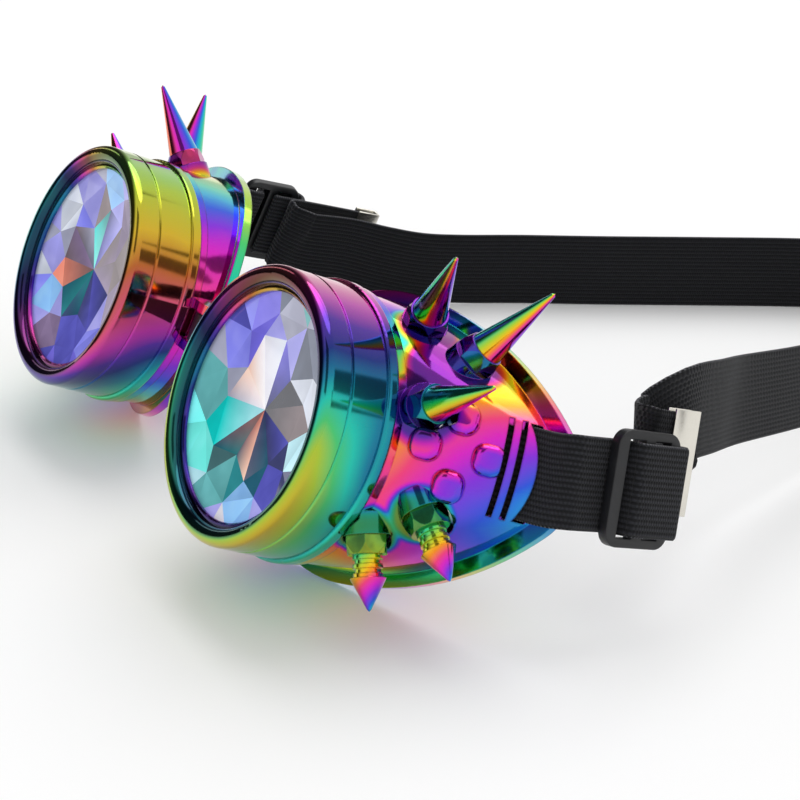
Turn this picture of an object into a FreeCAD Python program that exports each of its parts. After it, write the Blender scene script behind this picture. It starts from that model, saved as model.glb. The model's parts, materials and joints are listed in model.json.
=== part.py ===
import FreeCAD, Part
import math
import os
import Sketcher

# Driving dimensions in millimetres and degrees: name, value, what it measures
SIZES = (
    ("lens_spacing", 88.0, "between the two lens centres"),
    ("lens_tilt", 26.0, "angle by which the lenses face up as the goggles lie"),
    ("lens_height", 39.7, "lens centre above the table"),
    ("lens_ahead", 100.2, "lens centre in front of the frame's origin"),
    ("wing_rise", 14.0, "angle of the wing above the line through both lenses"),
    ("lens_radius", 24.9, "edge of the glass"),
    ("lens_seat", 0.8, "depth of the lens seat behind the face of the glass opening"),
    ("lens_edge", 2.0, "thickness of the glass at its edge"),
    ("lens_belly", 3.4, "depth of the facets behind the edge"),
    ("lens_table", 5.2, "radius of the ring of corners round the facet star"),
    ("lens_waist", 15.0, "radius of the second ring of facet corners"),
    ("facets", 8.0, "number of points of the facet star"),
    ("glass_gap", 0.05, "play between the lens and its seat"),
    ("glass_clearance", 0.3, "radial play between the lens and its ring"),
    ("gasket_thickness", 1.5, "seal behind the lens"),
    ("gasket_width", 1.5, "seal across its section"),
    ("ring_radius", 28.0, "side band of the lens ring"),
    ("ring_depth", 14.5, "from the glass opening to the ring's rear edge"),
    ("glass_opening", 22.9, "inner edge of the flange that holds the glass"),
    ("flange_rise", 0.1, "flange ahead of the glass opening"),
    ("flange_ease", 0.4, "slope on the flange's inner edge"),
    ("lip_radius", 2.0, "round section of the front lip"),
    ("lip_rise", 0.2, "centre of the lip's section ahead of the glass opening"),
    ("lip_flat", 0.08, "narrow flat left between the rounds of the lip"),
    ("bead_radius", 1.25, "half the height of the ring's rear bead"),
    ("bead_proud", 0.7, "rear bead beyond the side band"),
    ("groove_depth", 4.0, "place of the fine groove behind the lip"),
    ("groove_radius", 0.35, "section of the fine groove"),
    ("spigot_radius", 26.0, "threaded neck that carries the ring"),
    ("thread_play", 0.05, "running clearance of the ring on its neck"),
    ("collar_radius", 28.3, "bead of the cup behind the ring"),
    ("collar_width", 1.8, "bead of the cup along the axis"),
    ("barrel_radius", 27.5, "outside of the barrel"),
    ("cup_wall", 2.0, "wall of the cup"),
    ("barrel_start", 1.0, "start of the barrel behind the ring"),
    ("rim_depth", 30.5, "rear of the rim behind the glass opening, on the lens axis"),
    ("rim_lean", 15.1, "angle by which the rim leans back towards the temple"),
    ("rim_lip", 2.5, "rim flange beyond the wall"),
    ("rim_thickness", 2.0, "rim flange along the axis"),
    ("wing_reach", 36.8, "centre of the wing's tip from the lens axis"),
    ("wing_tip_radius", 11.5, "round of the wing's tip"),
    ("wing_side_radius", 69.5, "round of the wing's long sides"),
    ("wing_bulge", 0.06, "share by which the wing's middle swells beyond a straight flare"),
    ("lobe_inset", 14.3, "centre of the raised lobes before the wing's tip"),
    ("lobe_offset", 1.5, "centre of the lobes above the wing's middle line"),
    ("lobe_count", 4.0, "raised lobes on the wing"),
    ("lobe_turn", 0.0, "angle of the first lobe"),
    ("lobe_ring", 6.7, "middle of a lobe from their centre, along the wing"),
    ("lobe_spread", 8.2, "middle of a lobe from their centre, across the wing"),
    ("lobe_length", 6.4, "lobe outwards from their centre"),
    ("lobe_width", 6.2, "lobe across"),
    ("lobe_height", 2.0, "lobe above the wing"),
    ("lobe_round", 1.7, "round of a lobe's upper edge"),
    ("lobe_corner", 2.6, "round of a lobe's corners"),
    ("vent_length", 19.0, "vent slits, end to end"),
    ("vent_width", 1.1, "vent slits across"),
    ("vent_inset", 8.9, "middle of the first vent slit before the wing's tip"),
    ("vent_pitch", 1.5, "second vent slit beyond the first"),
    ("vent_bow", 150.0, "radius to which the vent slits are bent"),
    ("slot_inset", 5.0, "strap slot before the wing's tip"),
    ("slot_slant", 1.1, "run of the strap along the wing per unit through its wall"),
    ("strap_hem", 0.6, "straight end of the strap inside the slot"),
    ("hem_length", 8.0, "end of the strap along the cup's inside"),
    ("hem_inset", 5.5, "middle of that end before the slot"),
    ("strap_width", 17.8, "elastic strap between cup and slider"),
    ("band_width", 19.4, "elastic band behind the head"),
    ("strap_thickness", 1.4, "elastic of strap and band"),
    ("slot_lift", 0.6, "strap slot and vent slits above the wing's middle line"),
    ("strap_clearance", 0.4, "free space round the strap in slot and slider"),
    ("spike_length", 17.5, "long cone"),
    ("spike_radius", 3.5, "foot of the long cone"),
    ("spike_tip", 0.45, "blunt end of a cone"),
    ("stud_length", 6.3, "short cone"),
    ("stud_foot", 3.5, "foot of the short cone"),
    ("stud_collar", 4.4, "grooved collar under the short cone"),
    ("stud_radius", 2.9, "grooved collar"),
    ("stud_groove", 0.4, "depth of the collar's grooves"),
    ("shank_radius", 1.5, "threaded shank of a spike"),
    ("shank_bite", 2.6, "shank below the nut"),
    ("shank_play", 0.05, "radial play of the shank"),
    ("nut_flats", 7.6, "hexagonal nut across its flats"),
    ("nut_height", 3.6, "hexagonal nut"),
    ("seat_radius", 4.6, "round seat under a nut"),
    ("seat_depth", 4.2, "seat below the nut"),
    ("bridge_clear", 4.2, "hinge pin beyond the barrel"),
    ("bridge_depth", 17.6, "hinge pin behind the glass opening"),
    ("bridge_height", 6.6, "eye of the bridge along its pin"),
    ("bridge_eye", 2.5, "outer radius of the bridge's eyes"),
    ("bridge_bar", 3.0, "thickness of the bar of the bridge"),
    ("bridge_arch", 4.0, "rise of the bar's arch over the nose"),
    ("ear_thickness", 2.2, "ears of the cup along the pin"),
    ("ear_gap", 0.15, "side play of the bridge between the ears"),
    ("pin_radius", 1.2, "hinge pin"),
    ("pin_play", 0.05, "radial play of the hinge pin"),
    ("pin_head", 2.0, "head of the hinge pin"),
    ("pin_head_height", 0.8, "head of the hinge pin"),
    ("slider_clear", 4.7, "slider's middle plane beyond the wing's tip"),
    ("slider_lift", 3.0, "slider's centre above the wing's middle line"),
    ("slider_turn", 7.0, "angle by which the slider is turned on the strap"),
    ("right_slider_depth", 55.1, "right slider's centre behind the glass opening"),
    ("left_slider_depth", 70.6, "left slider's centre behind the glass opening"),
    ("slider_length", 15.5, "slider along the strap"),
    ("slider_bar", 2.6, "width of the slider's bars"),
    ("slider_side", 1.8, "width of the slider's side rails"),
    ("slider_thickness", 2.4, "slider"),
    ("right_tail", 14.7, "end of the band's right tail behind the slider's centre"),
    ("left_tail", 30.0, "end of the band's left tail behind the slider's centre"),
    ("right_tail_lift", 5.5, "right tail above the slider's centre"),
    ("left_tail_lift", 0.0, "left tail above the slider's centre"),
    ("slider_corner", 3.0, "round of the slider's corners"),
    ("clip_length", 6.4, "steel clip along the strap"),
    ("clip_plate", 0.6, "steel of the clip"),
    ("clip_play", 0.1, "between the strap's end and the clip"),
    ("band_reach", 214.0, "rearmost point of the band behind the lenses"),
)

V = FreeCAD.Vector
doc = FreeCAD.newDocument("goggles")
sheet = doc.addObject("Spreadsheet::Sheet", "sizes")
for row, (alias, value, meaning) in enumerate(SIZES, start=1):
    sheet.set(f"A{row}", alias)
    sheet.set(f"B{row}", str(value))
    sheet.set(f"C{row}", meaning)
    sheet.setAlias(f"B{row}", alias)
doc.recompute()

X_AXIS = V(1, 0, 0)
Z_AXIS = V(0, 0, 1)
FULL_TURN = 360.0
TINY = 1e-6
TILT_TURN = "rotation(vector(1; 0; 0); 90 - sizes.lens_tilt)"
LENS_PLACE = "vector(sizes.lens_spacing / 2; -sizes.lens_ahead; sizes.lens_height)"
WING_TURN = "rotation(vector(0; 0; 1); sizes.wing_rise)"
# Right cup: the lens axis is Z, out of the glass, and X runs along the middle line of the wing
CUP_FRAME = f"placement({LENS_PLACE}; {TILT_TURN} * {WING_TURN})"
# Bridge: the same tilt, half way between the lenses
BRIDGE_FRAME = f"placement(vector(0; -sizes.lens_ahead; sizes.lens_height); {TILT_TURN})"
PIN_PLACE = "sizes.lens_spacing / 2 - sizes.barrel_radius - sizes.bridge_clear"

pieces = []


def size(alias):
    """Value of one driving dimension."""
    return float(sheet.get(alias))


def cup_frame():
    """Placement of the right cup's frame in the part's frame."""
    tilt = FreeCAD.Rotation(X_AXIS, 90 - size("lens_tilt"))
    rise = FreeCAD.Rotation(Z_AXIS, size("wing_rise"))
    base = V(size("lens_spacing") / 2, -size("lens_ahead"), size("lens_height"))
    return FreeCAD.Placement(base, tilt.multiply(rise))


def keep(obj, label, frame=None):
    """Names a finished piece and places it in its frame."""
    obj.Label = label
    if frame:
        obj.setExpression("Placement", frame)
    pieces.append(obj)
    return obj


def mirrored(obj, label):
    """The same piece on the left side."""
    twin = doc.addObject("Part::Mirroring", label)
    twin.Source = obj
    twin.Normal = X_AXIS
    twin.Label = label
    pieces.append(twin)
    return twin


def feature(shape, label, placement):
    """A piece whose shape comes from Part's own functions."""
    obj = doc.addObject("Part::Feature", label)
    obj.Shape = shape
    obj.Placement = placement
    obj.Label = label
    return obj


def origin_plane(body, role):
    """One of the body's own origin planes."""
    return next(item for item in body.Origin.OriginFeatures if item.Role == role)


def new_sketch(body, name, role):
    """An empty sketch on one of the body's origin planes."""
    sketch = body.newObject("Sketcher::SketchObject", name)
    sketch.AttachmentSupport = [(origin_plane(body, role), "")]
    sketch.MapMode = "FlatFace"
    return sketch


def pinned(sketch, kind, geometry, point, value, expression):
    """Binds one coordinate of a sketch point to an expression."""
    rule = Sketcher.Constraint(kind, -1, 1, geometry, point, value)
    number = sketch.addConstraint(rule)
    sketch.setExpression(f"Constraints[{number}]", expression)


def outline(sketch, corners):
    """A closed outline of straight lines whose corners are bound to expressions."""
    first = sketch.GeometryCount
    count = len(corners)
    start = [V(math.cos(2 * math.pi * i / count), math.sin(2 * math.pi * i / count), 0) for i in range(count)]
    for i in range(count):
        sketch.addGeometry(Part.LineSegment(start[i], start[(i + 1) % count]), False)
    for i in range(count):
        sketch.addConstraint(Sketcher.Constraint("Coincident", first + i, 2, first + (i + 1) % count, 1))
    for i, (across, along) in enumerate(corners):
        pinned(sketch, "DistanceX", first + i, 1, start[i].x, across)
        pinned(sketch, "DistanceY", first + i, 1, start[i].y, along)


def round_hole(sketch, across, along, radius):
    """A circle whose centre and radius are bound to expressions."""
    number = sketch.addGeometry(Part.Circle(V(1, 1, 0), Z_AXIS, 1), False)
    pinned(sketch, "DistanceX", number, 3, 1, across)
    pinned(sketch, "DistanceY", number, 3, 1, along)
    rule = sketch.addConstraint(Sketcher.Constraint("Radius", number, 1))
    sketch.setExpression(f"Constraints[{rule}]", radius)


def turned(name, corners):
    """A body of revolution about its Z axis, from (radius, height) corners."""
    body = doc.addObject("PartDesign::Body", name)
    sketch = new_sketch(body, f"{name}_profile", "XZ_Plane")
    outline(sketch, corners)
    spin = body.newObject("PartDesign::Revolution", f"{name}_turn")
    spin.Profile = sketch
    spin.ReferenceAxis = (sketch, ["V_Axis"])
    spin.Angle = FULL_TURN
    sketch.Visibility = False
    return body


def primitive(kind, name, bindings):
    """A Part primitive with its properties bound to expressions."""
    obj = doc.addObject(f"Part::{kind}", name)
    for prop, expression in bindings.items():
        obj.setExpression(prop, expression)
    return obj


def cut(name, base, tool):
    """One object with another taken away."""
    obj = doc.addObject("Part::Cut", name)
    obj.Base = base
    obj.Tool = tool
    return obj


def rounded(body, name, radius, wanted):
    """Rounds those edges of a body's last feature for which wanted(edge) is true."""
    doc.recompute()
    base = body.Tip
    edges = [f"Edge{i}" for i, edge in enumerate(base.Shape.Edges, start=1) if wanted(edge)]
    fillet = body.newObject("PartDesign::Fillet", name)
    fillet.Base = (base, edges)
    fillet.setExpression("Radius", radius)
    doc.recompute()
    return fillet


def lens_ring():
    """Screw-on ring: round lip, flange for the glass, side band, rear bead, bores for lens and neck."""
    face = "sizes.lip_rise + sizes.lip_radius"
    lip_inside = "sizes.ring_radius - 2 * sizes.lip_radius + sizes.lip_flat"
    opening = "sizes.glass_opening"
    lens_bore = "sizes.lens_radius + sizes.glass_clearance"
    neck_bore = "sizes.spigot_radius + sizes.thread_play"
    step = "-sizes.lens_seat - sizes.lens_edge"
    bead = "sizes.ring_radius + sizes.bead_proud"
    bead_top = "-sizes.ring_depth + 2 * sizes.bead_radius"
    body = turned("lens_ring", [
        (lip_inside, face), (lip_inside, "sizes.flange_rise"),
        (f"{opening} + sizes.flange_ease", "sizes.flange_rise"),
        (opening, "sizes.flange_rise - sizes.flange_ease"), (opening, "-sizes.lens_seat"),
        (lens_bore, "-sizes.lens_seat"), (lens_bore, step),
        (neck_bore, step), (neck_bore, "-sizes.ring_depth"), (bead, "-sizes.ring_depth"), (bead, bead_top),
        ("sizes.ring_radius", bead_top), ("sizes.ring_radius", "-sizes.groove_depth - sizes.groove_radius"),
        ("sizes.ring_radius - sizes.groove_radius", "-sizes.groove_depth"),
        ("sizes.ring_radius", "-sizes.groove_depth + sizes.groove_radius"), ("sizes.ring_radius", face)])
    front = size("lip_rise") + size("lip_radius")
    proud = size("ring_radius") + size("bead_proud")
    rounded(body, "ring_lip", "sizes.lip_radius - sizes.lip_flat",
            lambda edge: abs(edge.BoundBox.ZMin - front) < TINY)
    rounded(body, "ring_bead", "sizes.bead_proud - sizes.lip_flat",
            lambda edge: edge.BoundBox.ZLength < TINY and abs(edge.BoundBox.XMax - proud) < size("lip_flat"))
    return keep(body, "right_lens_ring", CUP_FRAME)


def lens():
    """Crystal disc: plain face and edge, and a facet star on its back."""
    front = -size("lens_seat") - size("glass_gap")
    back = front - size("lens_edge")
    apex = back - size("lens_belly")
    edge_radius = size("lens_radius") - size("gasket_width")
    count = int(size("facets"))
    half = math.pi / count

    def ring_points(radius, depth, shift):
        return [V(radius * math.cos(2 * half * i + shift), radius * math.sin(2 * half * i + shift), depth)
                for i in range(count)]

    # Corners fall on one shallow cone, so that each star point is a flat kite
    waist_drop = size("lens_belly") * (1 - size("lens_waist") / edge_radius)
    table_drop = size("lens_belly") * (1 - size("lens_table") / edge_radius)
    waist = ring_points(size("lens_waist"), back - waist_drop, 0)
    table = ring_points(size("lens_table"), back - table_drop * 0.97, half)
    edge = ring_points(edge_radius, back, 0)
    edge_mid = ring_points(edge_radius, back, half)
    top = V(0, 0, apex)
    faces = []

    def facet(*corners):
        faces.append(Part.Face(Part.makePolygon(list(corners) + [corners[0]])))

    for i in range(count):
        after = (i + 1) % count
        facet(top, table[i - 1], waist[i])
        facet(top, waist[i], table[i])
        facet(table[i], waist[i], edge_mid[i])
        facet(table[i], edge_mid[i], waist[after])
        facet(waist[i], edge[i], edge_mid[i])
        facet(waist[after], edge_mid[i], edge[after])
    cap = [point for pair in zip(edge, edge_mid) for point in pair]
    faces.append(Part.Face(Part.makePolygon(cap + [cap[0]])))
    crystal = Part.Solid(Part.makeShell(faces))
    if crystal.Volume < 0:
        crystal.reverse()
    disc = Part.makeCylinder(size("lens_radius"), size("lens_edge"), V(0, 0, back))
    return keep(feature(disc.fuse(crystal), "right_lens", cup_frame()), "right_lens")


def lens_gasket():
    """Flat seal between the lens edge and the cup's neck."""
    inner = "sizes.lens_radius - sizes.gasket_width"
    front = "-sizes.lens_seat - sizes.glass_gap - sizes.lens_edge"
    back = f"{front} - sizes.gasket_thickness"
    body = turned("lens_gasket", [
        (inner, back), ("sizes.lens_radius", back), ("sizes.lens_radius", front), (inner, front)])
    return keep(body, "right_lens_gasket", CUP_FRAME)


def wing_outline(share, offset):
    """Teardrop outline of the cup: a circle at share 0 and the full wing at share 1.

    It is four arcs: the barrel, two long sides and the tip, all tangent.
    """
    barrel = size("barrel_radius")
    reach = size("wing_reach") * share
    side_run = (size("wing_side_radius") - barrel) * share
    tip_run = (size("wing_side_radius") - size("wing_tip_radius")) * share
    side_unit = size("wing_side_radius") - barrel
    tip_unit = size("wing_side_radius") - size("wing_tip_radius")
    across = (side_unit ** 2 - tip_unit ** 2 + size("wing_reach") ** 2) / (2 * size("wing_reach"))
    below = math.sqrt(side_unit ** 2 - across ** 2)
    centre = V(across * share, -below * share, 0)
    side = barrel + side_run + offset
    tip = barrel + side_run - tip_run + offset
    barrel_angle = math.atan2(below, -across)
    tip_angle = math.atan2(below, size("wing_reach") - across)

    def on_circle(middle, radius, angle):
        return middle + V(radius * math.cos(angle), radius * math.sin(angle), 0)

    def flipped(point):
        return V(point.x, -point.y, point.z)

    upper = [on_circle(centre, side, angle) for angle in
             (barrel_angle, (barrel_angle + tip_angle) / 2, tip_angle)]
    nose = V(-barrel - offset, 0, 0)
    end = V(reach + tip, 0, 0)
    lower = [flipped(point) for point in upper]
    return Part.Wire([
        Part.Arc(upper[0], upper[1], upper[2]).toShape(),
        Part.Arc(upper[2], end, lower[2]).toShape(),
        Part.Arc(lower[2], lower[1], lower[0]).toShape(),
        Part.Arc(lower[0], nose, upper[0]).toShape()])


def rim_frame(share, front):
    """Plane of a wing outline, from square to the lens axis to the leaning rim."""
    depth = front + (size("rim_depth") - front) * share
    lean = FreeCAD.Rotation(V(0, 1, 0), size("rim_lean") * share)
    return FreeCAD.Placement(V(0, 0, -depth), lean)


def flare(offset, front):
    """Solid flare from the round barrel to the wing, grown by an offset."""
    sections = []
    for share, swell in ((0.0, 0.0), (0.5, size("wing_bulge")), (1.0, 0.0)):
        wire = wing_outline(share + swell, offset)
        wire.Placement = rim_frame(share, front)
        sections.append(wire)
    return Part.makeLoft(sections, True, False)


def wing_tip():
    """Reach of the wing's tip from the lens axis, in its rim plane."""
    return size("wing_reach") + size("wing_tip_radius")


def wing_point(reach):
    """Point on the straight flare of the wing's middle line, with the wing's own directions."""
    start = V(size("barrel_radius"), 0, -size("ring_depth") - size("barrel_start"))
    end = rim_frame(1.0, 0.0).multVec(V(wing_tip(), 0, 0))
    along = (end - start).normalize()
    out = V(-along.z, 0, along.x)
    swell = size("wing_bulge") * size("wing_reach") * out.x
    gone = (reach - start.x) / (end.x - start.x)
    point = start + (end - start) * gone + out * swell * 4 * gone * (1 - gone)
    return point, along, out


def slab(frame, long, wide, thick):
    """Box centred on a frame: long in its X, wide in its Y, thick in its Z."""
    box = Part.makeBox(long, wide, thick, V(-long / 2, -wide / 2, -thick / 2))
    box.Placement = frame
    return box


def wing_face_frame(reach, offset=0.0):
    """Frame on the wing: X down the wing, Y along its width, Z out of it."""
    point, along, out = wing_point(reach)
    turn = FreeCAD.Rotation(along, V(0, 1, 0), out, "ZXY")
    return FreeCAD.Placement(point + V(0, offset, 0), turn)


def wing_lobes(shell):
    """Four raised lobes with round edges, square to the wing's surface."""
    frame = wing_face_frame(wing_tip() - size("lobe_inset"), size("lobe_offset"))
    count = int(size("lobe_count"))
    ring, spread = size("lobe_ring"), size("lobe_spread")
    long, wide, high = size("lobe_length"), size("lobe_width"), size("lobe_height")
    lobes = []
    for i in range(count):
        angle = math.radians(size("lobe_turn") + FULL_TURN * i / count)
        radial = V(math.cos(angle), math.sin(angle), 0)
        above = frame.multVec(V(radial.x * ring, radial.y * spread, ring))
        foot = shell.distToShape(Part.Vertex(above))[1][0][0]
        out = (above - foot).normalize()
        outwards = frame.Rotation.multVec(radial)
        turn = FreeCAD.Rotation(outwards, out.cross(outwards), out, "ZXY")
        block = Part.makeBox(long, wide, 2 * high, V(-long / 2, -wide / 2, -high))
        upright = [edge for edge in block.Edges if abs(edge.BoundBox.ZLength - 2 * high) < TINY]
        block = block.makeFillet(size("lobe_corner"), upright)
        top = [edge for edge in block.Edges if abs(edge.CenterOfMass.z - high) < TINY]
        block = block.makeFillet(size("lobe_round"), top)
        block.Placement = FreeCAD.Placement(foot, turn)
        lobes.append(block)
    return lobes


def vent_slit(reach):
    """Cutter for one vent slit, bent a little round the lens axis."""
    frame = wing_face_frame(reach, size("slot_lift"))
    bow = size("vent_bow")
    half = size("vent_length") / (2 * bow)
    inner = bow - size("vent_width") / 2
    outer = bow + size("vent_width") / 2

    def arc(radius):
        ends = [V(radius * math.cos(a) - bow, radius * math.sin(a), 0) for a in (-half, 0, half)]
        return ends

    low, high = arc(inner), arc(outer)
    wire = Part.Wire([
        Part.Arc(*low).toShape(),
        Part.LineSegment(low[2], high[2]).toShape(),
        Part.Arc(high[2], high[1], high[0]).toShape(),
        Part.LineSegment(high[0], low[0]).toShape()])
    reach_through = 4 * size("cup_wall")
    wire.translate(V(0, 0, -reach_through / 2))
    slit = Part.Face(wire).extrude(V(0, 0, reach_through))
    slit.Placement = frame
    return slit


# Where a spike's axis leaves the wing, as shares of wing reach, barrel radius and rim depth; its
# direction; its seat above the wing as a share of the seat depth. The first three carry long spikes
SPIKE_SEATS = (
    (V(0.462, 0.862, 0.767), V(0.7315, 0.5668, 0.3776), 0.13),
    (V(0.750, 0.672, 0.930), V(0.6776, 0.7142, -0.1714), 0.21),
    (V(0.821, 0.298, 0.635), V(0.9550, 0.2876, 0.0587), -0.15),
)
STUD_SEATS = (
    (V(0.613, -0.663, 0.614), V(0.302, -0.945, -0.124), -0.05),
    (V(0.871, -0.451, 0.792), V(0.640, -0.745, -0.190), -0.30),
)


def seat_places():
    """Middle of each spike's seat on the wing, with the direction of its axis."""
    shell = flare(0.0, size("ring_depth") + size("barrel_start")).Shells[0]
    places = []
    for share, direction, rise in SPIKE_SEATS + STUD_SEATS:
        aim = V(share.x * size("wing_reach"), share.y * size("barrel_radius"), -share.z * size("rim_depth"))
        foot = shell.distToShape(Part.Vertex(aim))[1][0][0]
        axis = V(direction).normalize()
        places.append((foot + axis * rise * size("seat_depth"), axis))
    return places


SEATS = seat_places()


def seat_rods(radius, low, high):
    """Cylinders along the axes of all five spikes, from low to high above their seats."""
    rods = []
    for place, axis in SEATS:
        rods.append(Part.makeCylinder(radius, high - low, place + axis * low, axis))
    return rods


def bridge_ears():
    """Two ears on the nose side of the barrel, with the hole for the hinge pin."""
    inner = size("bridge_height") / 2 + size("ear_gap")
    reach = size("barrel_radius") + size("bridge_clear")
    eye = size("bridge_eye")
    root = size("barrel_radius") - size("cup_wall") / 2
    ears = []
    for low in (inner, -inner - size("ear_thickness")):
        block = Part.makeBox(reach - root, size("ear_thickness"), 2 * eye,
                             V(-reach, low, -size("bridge_depth") - eye))
        round_end = Part.makeCylinder(eye, size("ear_thickness"),
                                      V(-reach, low, -size("bridge_depth")), V(0, 1, 0))
        ears.append(block.fuse(round_end))
    tall = 4 * size("bridge_height")
    hole = Part.makeCylinder(size("pin_radius") + size("pin_play"), tall,
                             V(-reach, -tall / 2, -size("bridge_depth")), V(0, 1, 0))
    back_turn = FreeCAD.Placement(V(0, 0, 0), FreeCAD.Rotation(Z_AXIS, -size("wing_rise")))
    for item in ears + [hole]:
        item.Placement = back_turn.multiply(item.Placement)
    return ears, hole


def eye_cup():
    """Moulded cup: neck, collar, flaring shell with rim, lobes, slot, slits, spike seats and ears."""
    wall = size("cup_wall")
    ring_end = size("ring_depth")
    start = ring_end + size("barrel_start")
    neck_end = size("lens_seat") + size("glass_gap") + size("lens_edge") + size("gasket_thickness")
    bore = size("lens_radius") - size("gasket_width")
    outer = flare(0.0, start)
    cavity = flare(-wall, start + wall)
    ears, pin_hole = bridge_ears()
    collar = Part.makeCylinder(size("collar_radius"), size("collar_width"),
                               V(0, 0, -ring_end - size("collar_width")))
    neck = Part.makeCylinder(size("spigot_radius"), start - neck_end, V(0, 0, -start))
    # The ring needs a clear way over the neck
    way = Part.makeCylinder(size("ring_radius") + size("bead_proud") + size("glass_clearance"),
                            2 * ring_end, V(0, 0, -ring_end))
    flange = Part.Face(wing_outline(1.0, size("rim_lip"))).extrude(V(0, 0, size("rim_thickness")))
    flange.Placement = rim_frame(1.0, start)
    seats = seat_rods(size("seat_radius"), -size("seat_depth"), 0.0)
    seats = [seat.cut(way) for seat in seats]
    cup = outer.multiFuse(wing_lobes(outer) + [collar, flange] + seats + ears)
    cavity = cavity.multiFuse([Part.makeCylinder(bore, ring_end, V(0, 0, -start - wall))])
    cavity = cavity.cut(seats[0].multiFuse(seats[1:]))
    spot = seat_rods(size("seat_radius"), 0.0, size("nut_height") + wall)
    shanks = seat_rods(size("shank_radius") + size("shank_play"), -size("shank_bite") - wall, wall)
    through = Part.makeCylinder(bore, 2 * start, V(0, 0, -start))
    cross = strap_crossing()
    cutters = [cavity, pin_hole, cross]
    vents = wing_tip() - size("vent_inset")
    cutters += [vent_slit(vents), vent_slit(vents + size("vent_pitch"))]
    cup = cup.cut(spot[0].multiFuse(spot[1:] + cutters))
    cup = cup.fuse(neck).cut(through.multiFuse(shanks)).removeSplitter()
    return keep(feature(cup, "right_eye_cup", cup_frame()), "right_eye_cup")


def turned_spike(number, place, direction, corners, label):
    """One turned spike on its seat."""
    body = turned(f"spike_{number}", corners)
    turn = FreeCAD.Rotation(Z_AXIS, direction)
    body.Placement = cup_frame().multiply(FreeCAD.Placement(place, turn))
    return keep(body, label)


def long_spike_profile():
    """Shank and cone of a long spike; its seat face is at height 0."""
    foot = "sizes.nut_height"
    tip = f"{foot} + sizes.spike_length"
    return [("0", "-sizes.shank_bite"), ("sizes.shank_radius", "-sizes.shank_bite"),
            ("sizes.shank_radius", foot), ("sizes.spike_radius", foot),
            ("sizes.spike_tip", f"{tip} - sizes.spike_tip"), ("0", tip)]


def stud_profile():
    """Shank, grooved collar and short cone of a stud; its seat face is at height 0."""
    foot = "sizes.nut_height"
    wide = "sizes.stud_radius"
    slim = "sizes.stud_radius - sizes.stud_groove"
    cone = f"{foot} + sizes.stud_collar"
    tip = f"{cone} + sizes.stud_length"
    rows = 5
    corners = [("0", "-sizes.shank_bite"), ("sizes.shank_radius", "-sizes.shank_bite"),
               ("sizes.shank_radius", foot)]
    for i in range(rows):
        radius = wide if i % 2 == 0 else slim
        corners.append((radius, f"{foot} + sizes.stud_collar * {i} / {rows}"))
        corners.append((radius, f"{foot} + sizes.stud_collar * {i + 1} / {rows}"))
    corners += [("sizes.stud_foot", cone),
                ("sizes.spike_tip", f"{tip} - sizes.spike_tip"), ("0", tip)]
    return corners


def spikes():
    """Three long spikes and two studs."""
    made = []
    long = len(SPIKE_SEATS)
    for i, (place, direction) in enumerate(SEATS[:long], start=1):
        made.append(turned_spike(i, place, direction, long_spike_profile(), f"right_spike_{i}"))
    for i, (place, direction) in enumerate(SEATS[long:], start=1):
        made.append(turned_spike(long + i, place, direction, stud_profile(), f"right_stud_{i}"))
    return made


def spike_nuts():
    """Five hexagonal nuts with eased top corners, one under each spike."""
    nuts = []
    corner = "sizes.nut_flats / 2 / cos(30 deg)"
    for i, (place, direction) in enumerate(SEATS, start=1):
        hexagon = primitive("Prism", f"nut_{i}_hexagon", {
            "Circumradius": corner, "Height": "sizes.nut_height"})
        hexagon.Polygon = 6
        ease = primitive("Cone", f"nut_{i}_ease", {
            "Radius1": f"{corner} * 1.1", "Radius2": "sizes.nut_flats / 2", "Height": "sizes.nut_height"})
        common = doc.addObject("Part::Common", f"nut_{i}_common")
        common.Base = hexagon
        common.Tool = ease
        hole = primitive("Cylinder", f"nut_{i}_hole", {
            "Radius": "sizes.shank_radius + sizes.shank_play", "Height": "sizes.nut_height"})
        nut = cut(f"nut_{i}", common, hole)
        nut.Placement = cup_frame().multiply(FreeCAD.Placement(place, FreeCAD.Rotation(Z_AXIS, direction)))
        nuts.append(nut)
    group = doc.addObject("Part::Compound", "spike_nuts")
    group.Links = nuts
    return keep(group, "right_spike_nuts")


def nose_bridge():
    """Black link: two eyes on the hinge pins and a bar that arches over the nose."""
    body = doc.addObject("PartDesign::Body", "nose_bridge")
    pin_x = f"({PIN_PLACE})"
    level = "-sizes.bridge_depth"
    half_bar = "sizes.bridge_bar / 2"
    plan = new_sketch(body, "bridge_plan", "XZ_Plane")
    rear = f"{level} - {half_bar}"
    front = f"{level} + {half_bar}"
    arch = "sizes.bridge_arch"
    outline(plan, [
        (f"-{pin_x}", rear), (f"-{arch}", f"{rear} + {arch}"), (arch, f"{rear} + {arch}"), (pin_x, rear),
        (pin_x, front), (arch, f"{front} + {arch}"), (f"-{arch}", f"{front} + {arch}"), (f"-{pin_x}", front)])
    bar = body.newObject("PartDesign::Pad", "bridge_bar")
    bar.Profile = plan
    bar.SideType = "Symmetric"
    bar.setExpression("Length", "sizes.bridge_height")
    eyes = new_sketch(body, "bridge_eyes", "XZ_Plane")
    holes = new_sketch(body, "bridge_holes", "XZ_Plane")
    for place in (f"-{pin_x}", pin_x):
        round_hole(eyes, place, level, "sizes.bridge_eye")
        round_hole(holes, place, level, "sizes.pin_radius + sizes.pin_play")
    knuckle = body.newObject("PartDesign::Pad", "bridge_knuckle")
    knuckle.Profile = eyes
    knuckle.SideType = "Symmetric"
    knuckle.setExpression("Length", "sizes.bridge_height")
    doc.recompute()
    drill = body.newObject("PartDesign::Pocket", "bridge_drill")
    drill.Profile = holes
    drill.SideType = "Symmetric"
    drill.setExpression("Length", "2 * sizes.bridge_height")
    return keep(body, "nose_bridge", BRIDGE_FRAME)


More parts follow.
